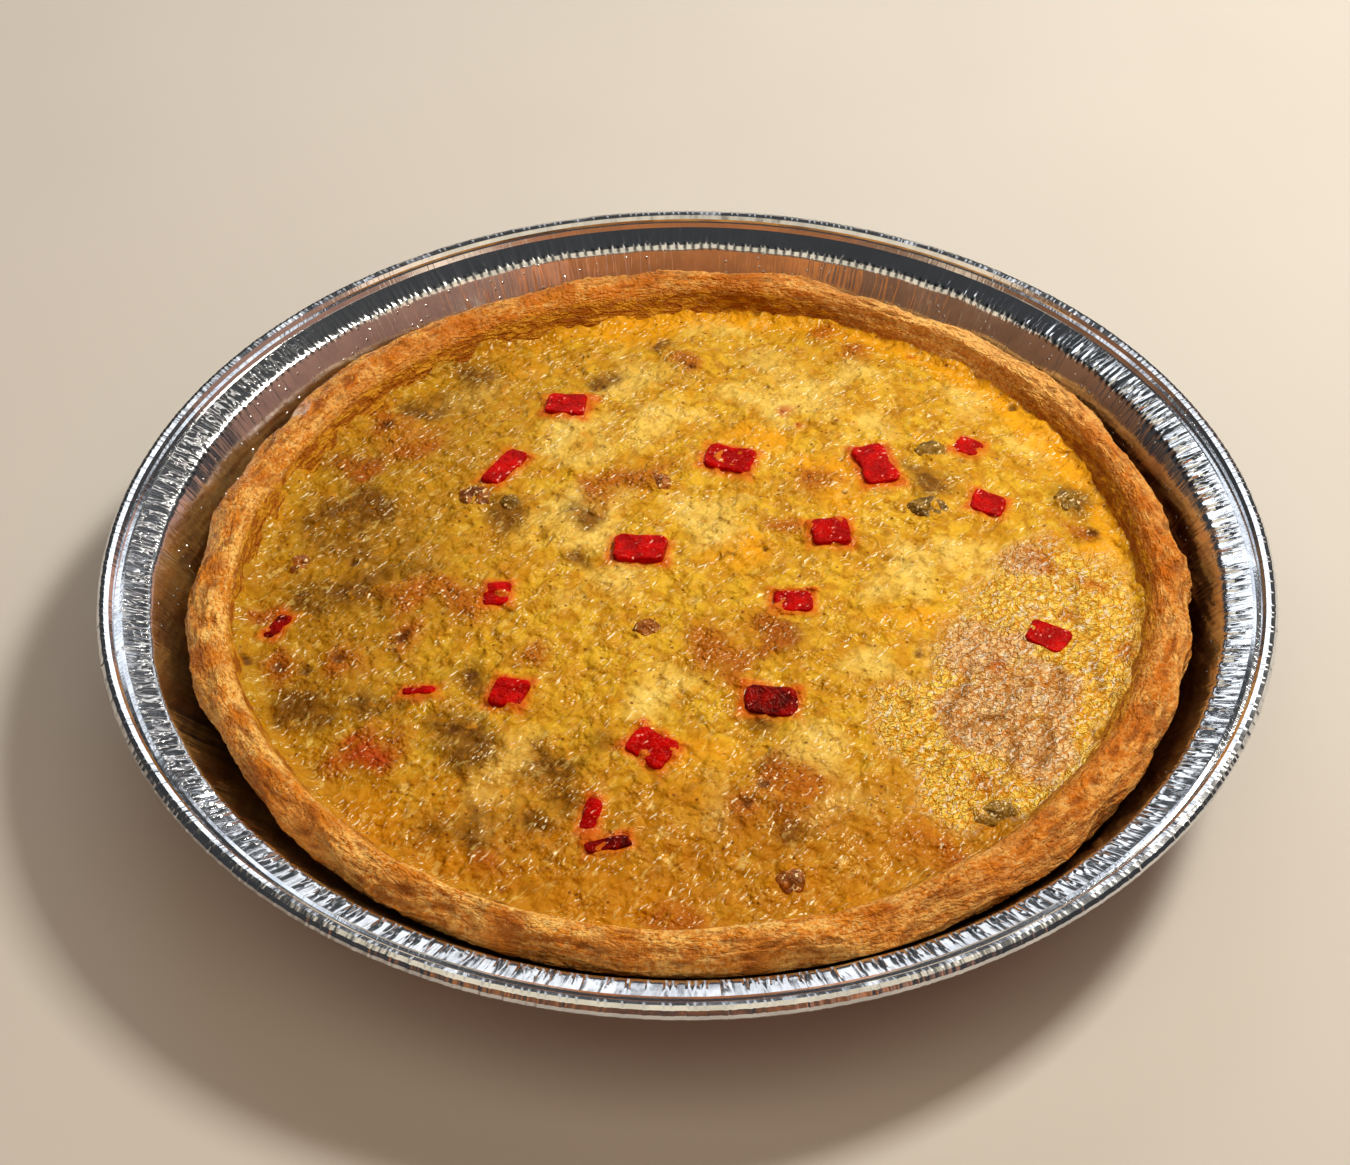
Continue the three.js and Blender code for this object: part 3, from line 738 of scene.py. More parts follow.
# x, y and radius of the patches, by kind
patches = {
    "pale": [
        (22, 58, 13), (36, 62, 9), (74, 41, 7), (-25, 41, 9), (-22, 13, 12), (-14, -7, 9), (45, -4, 8),
        (4, 13, 9), (25, -52, 8), (-40, -62, 10), (-6, 46, 9), (43, 45, 7), (-5, -38, 9), (36, -30, 6),
        (-10, 61, 10), (3, -68, 6), (-34, -53, 7), (58, 2, 8), (8, 84, 9), (-48, 58, 8), (30, -66, 7),
        (62, 60, 7),
    ],
    "yolk": [
        (-10, 87, 13), (14, 89, 8), (-46, 79, 8), (62, 69, 7), (80, 41, 6), (-62, -68, 13), (-76, -52, 8),
        (-14, -89, 14), (30, -88, 12), (50, -75, 9), (56, -34, 7), (10, 4, 8), (48, -18, 9), (85, -18, 6),
        (88, -32, 5), (0, -58, 7), (-60, -6, 7), (-86, 22, 5), (-36, 70, 8), (30, 30, 10), (-80, -40, 6),
        (-48, -80, 9), (15, 40, 7), (34, 18, 7), (-84, 36, 5), (72, 60, 6), (86, 8, 5), (-30, 84, 8),
    ],
    "olive": [
        (-70, 20, 11), (-66, 0, 12), (-78, -6, 7), (-21.5, 1, 4), (-38, 15, 5), (-18, 63.6, 5),
        (-50, 67, 7), (-57, 57, 6), (18, -24, 6), (-24, -57, 8), (-45, -48, 8), (-42, -33, 5),
        (-76, -34, 7), (-62, -36, 7),
        (-70, 35, 7), (83, 25, 6), (60, -66, 7), (-42, -71, 7), (14, -46, 4), (-6, 78, 5), (16, -57, 5),
        (52, 27, 6), (-22, 15, 4), (20, -70, 5), (-30, -70, 5),
    ],
    "toast": [
        (-67, 51, 8), (-70, 35, 6), (-60, 43, 8), (39, 75, 6), (33, 83, 4), (28, 25, 6),
        (-12, 28, 8), (-47, -10, 9), (-56, -9, 7), (8, -28, 9), (16, -24, 7), (18, -61, 9), (10, -67, 5),
        (43, -39, 6), (46, -76, 7), (-62, -49, 7), (74, 4, 6), (-70, -25, 5), (-56, -20, 5),
        (82, 14, 4), (-82, -25, 4), (-4, -91, 6), (0, 69, 4), (20, 10, 4), (56, -22, 5), (-38, -77, 5),
        (-86, -8, 4), (-20, 24, 6), (-30, -26, 6), (32, 82, 4), (60, 76, 3), (68, -58, 5),
    ],
    "char": [
        (-57, -20, 2.4), (-70, -24, 2.0), (-77, -26, 1.8), (-82, -25, 1.8), (73.5, 56, 1.6),
        (18, 91.6, 2.0), (-89, -22.7, 1.8), (14, -62, 2.2), (10.6, -66, 1.8), (-43, -31, 2.0),
        (85, 14, 2.0), (1, 67, 1.4),
        (43, -41, 1.6), (-66, 50, 3.0), (60, -67, 3.0), (-46, -46, 1.6), (-18, -64, 1.2), (70, -47, 1.6),
        (46, -27, 1.4), (16, 3, 1.0), (-35, -88, 2.0), (-70, 5, 1.6), (34, 21, 1.0), (-12.5, -73.5, 1.4),
    ],
    "red": [
        (22.7, 51.5, 2.6), (25.4, 44.1, 1.6), (-62.8, -49.2, 5.0), (-16.7, -71.9, 4.5), (-19.2, 54.5, 1.6),
        (52, 75, 1.6), (-66, -46, 2.4), (-53, -35.5, 3.6),
    ],
}

# the wrinkled skin at the right, as the corners of its outline
skinCorners = [
    (71, 6), (60, -10), (51.5, -27), (39, -39), (45, -65), (60, -66), (73, -56), (86, -34), (90, -12),
    (87, 3),
]
rustSpots = [(75, 3, 5), (84, -4, 4), (62, -30, 3), (78, -14, 3), (88, -22, 3), (58, -60, 4)]

# start, end and depth of the furrows in it
skinFurrows = [
    ((56, -30), (47, -58), 0.20), ((66, -33), (60, -60), 0.22), ((74, -30), (68, -52), 0.18),
    ((79, 0), (82, -34), 0.22), ((52, -46), (64, -42), 0.16),
]


def patchField(x, y, spots, warpX, warpY):
    field = np.zeros(len(x))
    for spotX, spotY, radius in spots:
        away = np.hypot(x + warpX * radius * 0.6 - spotX, y + warpY * radius * 0.6 - spotY) / radius
        field = np.maximum(field, np.exp(-away ** 2 * 1.1))
    return field


def insideShare(x, y, corners, soft):
    # 1 inside the outline, fading to 0 over `soft` millimetres outside it
    inside = np.zeros(len(x), dtype=bool)
    nearest = np.full(len(x), 1e9)
    for (ax, ay), (bx, by) in zip(corners, corners[1:] + corners[:1]):
        crosses = (ay > y) != (by > y)
        where = ax + (y - ay) * (bx - ax) / (by - ay + tiny)
        inside ^= crosses & (x < where)
        nearest = np.minimum(nearest, lineDistance(x, y, (ax, ay), (bx, by)))
    return np.clip(np.where(inside, 1.0, 1 - nearest / soft), 0.0, 1.0)


def lineDistance(x, y, start, end):
    dx, dy = end[0] - start[0], end[1] - start[1]
    share = np.clip(((x - start[0]) * dx + (y - start[1]) * dy) / (dx * dx + dy * dy), 0, 1)
    return np.hypot(x - start[0] - share * dx, y - start[1] - share * dy)


def toppingDistance(x, y, spot):
    # millimetres outside the topping's outline, less than 0 within it
    turn = math.radians(spot["turn"])
    ownX = (x - spot["x"]) * math.cos(turn) + (y - spot["y"]) * math.sin(turn)
    ownY = (y - spot["y"]) * math.cos(turn) - (x - spot["x"]) * math.sin(turn)
    return np.maximum(np.abs(ownX) - spot["long"] / 2, np.abs(ownY) - spot["wide"] / 2)


def makeDisc(look):
    # a square grid whose squares are drawn out to rings, so that its edge follows the pastry
    deselectAll()
    bpy.ops.mesh.primitive_grid_add(x_subdivisions=look["cells"], y_subdivisions=look["cells"], size=2)
    piece = bpy.context.active_object
    square = readPoints(piece) * mm
    u, v = square[:, 0], square[:, 1]
    wide = np.abs(u) > np.abs(v)
    away = np.where(wide, u, v)
    safe = np.where(np.abs(away) < tiny, tiny, away)
    angle = np.where(wide, math.pi / 4 * v / safe, math.pi / 2 - math.pi / 4 * u / safe)
    discX, discY = away * np.cos(angle), away * np.sin(angle)
    widening = fillingReach(discX * 100 + pieMiddle[0], discY * 100 + pieMiddle[1]) / fillingForm["radius"]
    x = discX * look["edgeRadius"] * widening + pieMiddle[0]
    y = discY * look["edgeRadius"] * widening + pieMiddle[1]
    return piece, x, y, np.hypot(x - pieMiddle[0], y - pieMiddle[1]) / widening


def closeUnder(piece, topCount, look):
    # a skirt from the edge down to the underside, then the underside itself
    editOpenEdges(piece)
    bpy.ops.mesh.extrude_edges_move()
    leaveEdit()
    points = readPoints(piece)
    skirt = np.arange(topCount, len(points))
    angle = np.arctan2(points[skirt, 1] - pieMiddle[1], points[skirt, 0] - pieMiddle[0])
    points[skirt, 0] = pieMiddle[0] + look["underRadius"] * np.cos(angle)
    points[skirt, 1] = pieMiddle[1] + look["underRadius"] * np.sin(angle)
    points[skirt, 2] = look["underHeight"]
    writePoints(piece, points)
    editOpenEdges(piece)
    bpy.ops.mesh.edge_face_add()
    bpy.ops.mesh.select_all(action="SELECT")
    bpy.ops.mesh.normals_make_consistent(inside=False)
    leaveEdit()
    return len(skirt)


def makeFilling():
    look = fillingLook
    piece, x, y, radius = makeDisc(look)
    flat = np.stack([x, y, np.zeros(len(x))], axis=1)
    warpX = grain(flat, 9, 1)
    warpY = grain(flat, 9, 2)

    # where each colour lies
    masks = {kind: patchField(x, y, spots, warpX, warpY) for kind, spots in patches.items()}
    skin = insideShare(x + warpX * 3.2, y + warpY * 3.2, skinCorners, look["skinFade"])
    tan = patchField(x, y, look["tan"], warpX, warpY)
    atBackRight = smooth(0.3, 0.9, (0.55 * x + 0.83 * y) / 90)
    # painted shade, mixed with a darker olive tone: the cheese is darkened towards the left, the near side
    # and the back
    shadedLeft = smooth(-28, -62, x - 0.25 * y)
    shadedNear = smooth(-48, -78, y)
    shadedBack = smooth(42, 74, y)
    masks["skin"] = skin
    masks["yellowSkin"] = skin * smooth(0.75, 0.35, tan)
    masks["rust"] = skin * patchField(x, y, rustSpots, warpX, warpY)
    masks["shadeAndDarkTone"] = np.maximum.reduce([shadedLeft, 0.55 * shadedNear, 0.35 * shadedBack])
    masks["baked"] = smooth(-40, -74, y)
    # painted light in a bright egg yellow: the cheese climbing the pastry at the back right is lightened
    # where it faces away from the key light
    masks["edge"] = smooth(82, 89, radius + 1.6 * warpX) * atBackRight

    # the dome, the cheese that climbs up the pastry, swells, curds and crumb
    height = surfaceHeight(x, y)
    climb = smooth(fillingForm["radius"] - 1.6, look["edgeRadius"], radius + 1.0 * grain(flat, 6, 3))
    height += climb * look["edgeClimb"] * (1 - 0.5 * atBackRight)
    height += 1.2 * climb * (1 - climb) * grain(flat, 3.0, 7)
    loose = (1 - skin) * (1 - 0.6 * climb)
    height += look["swell"] * loose * grain(flat, 6.5, 4) * 0.6
    height += look["curds"] * loose * ridged(flat, 3.4, 5)
    height += 0.14 * loose * grain(flat, 2.0, 6)
    height += 0.10 * grain(flat, 5.0, 8) * skin
    height += 0.35 * masks["toast"] * (1 - skin) + 0.25 * skin
    height -= 0.5 * masks["char"] * smooth(0.4, 0.9, masks["char"])

    # painted shade along the skin's furrows
    masks["furrowShade"] = np.zeros(len(x))
    broken = 0.5 + 0.8 * np.abs(warpY)
    for start, end, depth in skinFurrows:
        reach = lineDistance(x + warpX * 1.6, y + warpY * 1.6, start, end)
        height -= depth * broken * np.exp(-(reach / 0.9) ** 2)
        masks["furrowShade"] = np.maximum(masks["furrowShade"], broken * np.exp(-(reach / 1.2) ** 2))

    # a lip of cheese round each topping, and a film over part of it
    masks["stain"] = np.zeros(len(x))
    wobble = 0.45 * grain(flat, 2.4, 9)
    clots = grain(flat, 3.0, 10)
    for spot in pepperSpots + searedSpots + oliveSpots:
        outside = toppingDistance(x, y, spot) + wobble
        near = (outside > -8) & (outside < 8)
        isPepper = "proud" in spot
        rise = look["lip"] * (0.8 + 0.6 * warpX) * (1.0 if isPepper else 0.4)
        lip = rise * np.exp(-np.maximum(outside, 0) ** 2)
        film = spot.get("film", look["bitFilm"])
        proud = spot.get("proud", look["bitProud"])
        over = smooth(0.9 - 1.6 * film, 1.2 - 1.4 * film, clots) * (proud + 0.12)
        inside = smooth(0.3, -0.5, outside)
        if film < 0.4:
            inside = inside * smooth(-2.4, -0.9, outside)
        height += np.where(near, np.maximum(lip, over * inside), 0)
        stain = np.exp(-(np.maximum(outside, 0) / 0.9) ** 2)
        masks["red"] = np.maximum(masks["red"], (outside < -0.1) * 1.0 * isPepper)
        masks["stain"] = np.maximum(masks["stain"], stain * isPepper)

    writePoints(piece, np.stack([x, y, height], axis=1))
    skirtCount = closeUnder(piece, len(x), look)
    for kind, field in masks.items():
        paint(piece, kind, np.concatenate([field, np.zeros(skirtCount)]))
    finishPiece(piece, "cheeseFilling", makeFillingFinish(), ["filling"])
    print("filling:", len(piece.data.polygons), "faces")


# Turned bodies: a circle opened at the axis carries the profile and is spun round Z

def spinProfile(profile, steps, sectors=10):
    deselectAll()
    bpy.ops.mesh.primitive_circle_add(vertices=len(profile), radius=0.1)
    piece = bpy.context.active_object
    writePoints(piece, np.array([(radius, 0, height) for radius, height in profile]))
    for edge in piece.data.edges:
        edge.select = set(edge.vertices) == {0, len(profile) - 1}
    for vertex in piece.data.vertices:
        vertex.select = False
    piece.data.update()
    bpy.ops.object.mode_set(mode="EDIT")
    bpy.ops.mesh.select_mode(type="EDGE")
    bpy.ops.mesh.delete(type="EDGE_FACE")
    bpy.ops.mesh.select_mode(type="VERT")
    sector = math.tau / sectors
    upright = {"center": (0, 0, 0), "axis": (0, 0, 1)}
    bpy.ops.mesh.select_all(action="SELECT")
    bpy.ops.mesh.spin(steps=steps // sectors, angle=sector, **upright)
    bpy.ops.mesh.select_all(action="SELECT")
    bpy.ops.mesh.spin(steps=sectors - 1, dupli=True, angle=math.tau - sector, **upright)
    bpy.ops.mesh.select_all(action="SELECT")
    bpy.ops.mesh.remove_doubles(threshold=1e-6)
    bpy.ops.mesh.normals_make_consistent(inside=False)
    leaveEdit()
    return piece


def curveThrough(corners, spacing):
    # points at about even spacing on a smooth curve through the corners
    corners = np.array(corners, dtype=float)
    padded = np.vstack([2 * corners[0] - corners[1], corners, 2 * corners[-1] - corners[-2]])
    points = []
    for i in range(1, len(padded) - 2):
        before, start, end, after = padded[i - 1:i + 3]
        count = max(1, round(float(np.linalg.norm(end - start)) / spacing))
        for k in range(count):
            t = k / count
            points.append(0.5 * (
                2 * start + (end - before) * t
                + (2 * before - 5 * start + 4 * end - after) * t ** 2
                + (3 * start - before - 3 * end + after) * t ** 3
            ))
    points.append(corners[-1])
    return [tuple(point) for point in points]


def profilePlace(points, profile):
    # for each point, the number of the profile point that it was turned from
    radius = np.hypot(points[:, 0], points[:, 1])
    rim = np.array(profile)
    apart = np.abs(radius[:, None] - rim[None, :, 0]) + np.abs(points[:, 2][:, None] - rim[None, :, 1])
    return np.argmin(apart, axis=1)


def profileNormals(profile):
    rim = np.array(profile)
    step = np.gradient(rim, axis=0)
    length = np.maximum(np.hypot(step[:, 0], step[:, 1]), tiny)
    return np.stack([step[:, 1] / length, -step[:, 0] / length], axis=1)


def tinRoom(height):
    # how far the pastry may reach inside the tin's wall
    (bottomRadius, bottomHeight), (topRadius, topHeight) = tinLook["wallBottom"], tinLook["wallTop"]
    share = (height - bottomHeight) / (topHeight - bottomHeight)
    return bottomRadius + (topRadius - bottomRadius) * share - crustLook["wallClearance"]


def onRing(degrees, reach):
    return reach * math.cos(math.radians(degrees)), reach * math.sin(math.radians(degrees))


crustLook = {
    "steps": 1100,
    "spacing": 0.52,
    "outerRadius": 102.8,
    "crestRadius": 98,
    "innerHeight": 19.8,   # the crest's inner edge, where the filling meets it
    "unevenness": 0.75,
    "nearFullness": 2.1,   # how far the near side bulges more than the rest
    "layerHeight": 1.7,    # the flaky layers down the outside
    "layerDepth": 0.65,
    "cragDepth": 0.22,
    "flakeDepth": 0.17,
    "foldDepth": 0.28,
    "foot": [(87.6, 0.95), (88.9, 1.7), (89.3, 2.65), (92.7, 7.8)],
    "rim": [(96.2, 13), (101.1, 20.4), (102.8, 23.2), (102.2, 25.2), (100.4, 26.3), (98, 26.6),
            (95.6, 26.0), (93.3, 23.7), (91.8, 21.4), (90.9, 19.8)],
    "under": [(0, 0.95), (44, 0.95), (80, 0.95)],
    "inside": [(87.5, 13.5), (84, 7.05), (82, 4.65), (45, 4.65), (0, 4.65)],
    "wallClearance": 0.7,
    "paleAngle": 52,       # the pale stretch of the crust and half its width, in degrees
    "paleWidth": 20,
    # angle in degrees, distance from the middle and radius of the browned, shiny patches
    "glazed": [(224, 98, 9), (216, 100, 7), (206, 98, 5), (195, 99, 6), (180, 98, 6), (171, 97, 5),
               (162, 95, 6), (152, 94, 5), (148, 99, 5), (238, 99, 5), (250, 101, 5), (262, 99, 5),
               (276, 101, 5), (290, 99, 5), (303, 100, 4), (332, 96, 4), (358, 96, 5), (12, 96, 5),
               (26, 96, 4), (68, 97, 6), (82, 98, 7), (96, 97, 7), (108, 98, 6), (122, 98, 5),
               (134, 97, 5)],
    # angle in degrees, reach in mm and depth in mm of the dents in the crest
    "dents": [(-12, 7, 1.3), (-28, 5, 0.9), (112, 8, 0.7), (-66, 6, 0.9), (-118, 5, 0.6), (38, 6, 0.6)],
    "dentRadius": 97.5,
}


def packedForm(angle, radius, height):
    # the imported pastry's own unevenness, as the new radius and height of each point
    look = crustLook
    shown = smooth(12, 21.5, height) * (height > look["innerHeight"] + 0.1)
    outside = 0.25 + 0.75 * smooth(look["crestRadius"] - 2.5, look["crestRadius"] + 2.5, radius)
    arcX = np.cos(angle) * look["outerRadius"]
    arcY = np.sin(angle) * look["outerRadius"]
    bulge = look["unevenness"] * crustWaves(arcX + height * 1.7, arcY - height * 2.3)
    wander = 0.55 * outlineWaves(arcX, arcY)
    moved = radius + shown * outside * (wander + bulge)
    isRim = height > look["innerHeight"] + 0.1
    isOuterWall = (radius > 95) & (height < 23.3)
    isBrim = (radius > 90.4) & (height > look["innerHeight"] - 0.1) & ~isOuterWall
    innerShift = np.where(isRim, ringAt(angle, ringInner), np.maximum(0, ringAt(angle, ringInner)))
    outerShift = ringAt(angle, ringOuter)
    outerShare = smooth(91, 102, radius)
    moved += isOuterWall * outerShift * shown
    moved += isBrim * (innerShift * (1 - outerShare) + outerShift * outerShare)
    near = smooth(0.3, 0.85, -np.sin(angle)) * smooth(5, 19, height) * (1 - smooth(20.4, 25.5, height))
    moved += (isOuterWall | (radius > look["crestRadius"])) * look["nearFullness"] * near
    raised = height + shown * 0.45 * crustWaves(arcY + 31, arcX - 17)
    raised += ringAt(angle, ringCrest) * smooth(21, 25, height)
    return moved, raised


def makeCrust():
    look = crustLook
    profile = look["under"] + look["foot"] + curveThrough(look["rim"], look["spacing"]) + look["inside"]
    piece = spinProfile(profile, look["steps"])
    points = readPoints(piece)
    place = profilePlace(points, profile)
    across = profileNormals(profile)[place]
    radius = np.hypot(points[:, 0], points[:, 1])
    safe = np.maximum(radius, 1e-6)
    angle = np.arctan2(points[:, 1], points[:, 0])
    start = points.copy()

    moved, height = packedForm(angle, radius, start[:, 2])

    # flaky layers down the outside, crags on top, dents and fine crumb
    outer = smooth(98.5, 101.5, radius + (26 - start[:, 2]) * 0.5) * (across[:, 0] > -0.2)
    outer = outer * smooth(3, 9, start[:, 2])
    inner = smooth(0.1, 0.6, -across[:, 0]) * (start[:, 2] > 15)
    lying = start.copy()
    lying[:, :2] *= ((radius - look["crestRadius"] * 0.6) / safe)[:, None]
    patch = smooth(-0.6, 0.1, grain(start, 15, 11))
    drift = 1.6 * grain(start * (1, 1, 0.3), 16, 12) + 0.45 * grain(lying * (1, 1, 0.4), 3, 13)
    layer = (start[:, 2] + drift) / look["layerHeight"]
    saw = layer - np.floor(layer)
    ledge = np.where(saw < 0.78, saw / 0.78, (1 - saw) / 0.22)
    crags = ridged(start, 4.4, 14)
    fold = ridged(lying * (1, 1, 1.4), 2.0, 15)
    steps = grain(lying, 3.4, 18, 2) * 2.4
    flakes = np.floor(steps) + smooth(0.55, 1.0, steps - np.floor(steps))
    body = smooth(4, 10, start[:, 2]) * (1 - 0.5 * inner)
    rough = smooth(-0.5, 0.5, grain(start, 26, 19))
    push = look["layerDepth"] * (ledge - 0.5) * outer * patch
    push += look["cragDepth"] * crags * (0.5 + 0.5 * rough) * body * (1 - 0.5 * outer)
    push += look["flakeDepth"] * flakes * body * (0.4 + 0.6 * rough)
    push += look["foldDepth"] * fold * body * (1 - 0.4 * outer)
    push += 0.15 * grain(start, 1.4, 16) * body - 0.15 * body
    onTop = smooth(22.5, 25.5, start[:, 2])
    for degrees, reach, depth in look["dents"]:
        spotX, spotY = onRing(degrees, look["dentRadius"])
        apart = np.hypot(start[:, 0] - spotX, start[:, 1] - spotY) / reach
        push -= depth * onTop * np.exp(-apart ** 2)
    visible = (start[:, 2] > 3) & (place > 4) & (place < len(profile) - len(look["inside"]))
    push = np.where(visible, push, 0)
    moved = moved + across[:, 0] * push
    height = height + across[:, 1] * push
    moved = np.where(radius < 1e-4, radius, moved)
    points[:, :2] = points[:, :2] / safe[:, None] * moved[:, None] + pieMiddle
    points[:, 2] = height
    squeeze = np.minimum(1, tinRoom(height) / np.maximum(np.hypot(points[:, 0], points[:, 1]), 1e-6))
    points[:, :2] *= np.where(start[:, 2] > 2, squeeze, 1)[:, None]
    writePoints(piece, points)

    tops = smooth(-0.1, 0.45, crags) * smooth(-0.3, 0.5, grain(start, 11, 17))
    paint(piece, "toasted", tops * body * 0.9)
    paint(piece, "outside", outer)
    # painted shade in the recess under each flaky layer
    paint(piece, "ledge", (1 - ledge) ** 2 * outer * patch)
    # painted shade in the troughs of the folds
    paint(piece, "creviceShade", smooth(-0.3, -0.9, fold) * body)
    # painted shade: the outer wall is darkened towards its foot in the gap that the tin shades, but not on
    # the near side, which the fill light reaches
    nearSide = smooth(0.15, 0.5, 0.1 * np.cos(angle) - np.sin(angle))
    paint(piece, "low", smooth(19.0, 13, start[:, 2]) * outer * (1 - nearSide))
    glazed = np.zeros(len(radius))
    for degrees, reach, size in look["glazed"]:
        spotX, spotY = onRing(degrees, reach)
        apart = np.hypot(start[:, 0] - spotX, start[:, 1] - spotY) / size
        glazed = np.maximum(glazed, np.exp(-apart ** 2 * 1.3))
    paint(piece, "glaze", glazed * body)
    atRight = smooth(-0.2, 0.75, np.cos(angle - math.radians(8)))
    atBack = 0.8 * smooth(0.3, 0.85, np.sin(angle))
    paleShare = np.exp(-((np.degrees(angle) - look["paleAngle"]) / look["paleWidth"]) ** 2)
    paint(piece, "roasted", np.maximum(atRight, atBack) * (1 - 0.5 * outer) * (1 - paleShare))
    paint(piece, "pastryPale", paleShare * body)
    paint(piece, "oily", inner * smooth(25.8, 23.4, start[:, 2]) * (1 - 0.8 * paleShare))
    finishPiece(piece, "pastryCase", makePastryFinish(), ["pastry_case"])
    print("pastry:", len(piece.data.polygons), "faces")


# The foil tin: one turned sheet with flutes, pleats and a rolled bead, then given its thickness

tinLook = {
    "steps": 1760,
    "sheet": 0.6,
    "base": [(0, 0.6), (86, 0.6), (90.1, 0.6), (90.9, 1.2)],
    "wallBottom": (91.25, 2.3),
    "wallTop": (109.2, 25.3),
    "wallRings": 6,
    "shoulder": [(109.7, 25.95), (110.4, 26.4)],
    "fold": (115, 28.1),
    "flangeRings": 5,
    "groove": (115.9, 27.2),
    "beadMiddle": (118.35, 28.35),
    "beadRadius": 1.65,
    "beadStart": 186,
    "beadEnd": -78,
    "beadRings": 9,
    "topRing": 6,          # the bead's highest ring, counted from the end of the profile
    "fluteDepth": 0.045,
    "waveDepth": 0.12,
    "pleatRise": 0.46,     # at the flange's inner end; a pleat flattens out towards the fold
    "backRise": 0.22,      # share of it at the back and the left
    "crimpDepth": 0.10,
    "pleatWidth": 2,       # columns
    "pairGap": 3,
    "pairSpacing": (7, 8, 9, 10),
    "secondPleat": 0.75,   # how often a pleat has a second one beside it
    "gapEvery": 5,         # columns from dot to dot along the shoulder at the back
    "gapWidth": 2,
    "flangeMiddle": 112,
}


def partWay(start, end, share):
    return tuple(np.array(start) * (1 - share) + np.array(end) * share)


def tinProfile():
    look = tinLook
    profile = list(look["base"])
    for ring in range(look["wallRings"]):
        profile.append(partWay(look["wallBottom"], look["wallTop"], ring / (look["wallRings"] - 1)))
    profile += look["shoulder"]
    for ring in range(1, look["flangeRings"] + 1):
        profile.append(partWay(look["shoulder"][-1], look["fold"], ring / look["flangeRings"]))
    profile.append(look["groove"])
    middleRadius, middleHeight = look["beadMiddle"]
    for ring in range(look["beadRings"]):
        degrees = look["beadStart"] + (look["beadEnd"] - look["beadStart"]) * ring / (look["beadRings"] - 1)
        outwards, upwards = onRing(degrees, look["beadRadius"])
        profile.append((middleRadius + outwards, middleHeight + upwards))
    return profile


def drawPleats(draw):
    # narrow ridges across the flange, mostly in pairs that lean together or apart
    look = tinLook
    crease = np.zeros(look["steps"])
    leaning = np.zeros(look["steps"])
    at = 0
    while at < look["steps"] - look["pairSpacing"][-1]:
        lean = draw.uniform(-1.6, 1.6)
        for first, share in ((at, 1.0), (at + look["pairGap"], -0.6)):
            if share > 0 or draw.uniform() < look["secondPleat"]:
                crease[first:first + look["pleatWidth"]] = draw.uniform(0.65, 1.15)
                leaning[first:first + look["pleatWidth"]] = lean * share
        at += int(draw.choice(look["pairSpacing"]))
    return crease, leaning


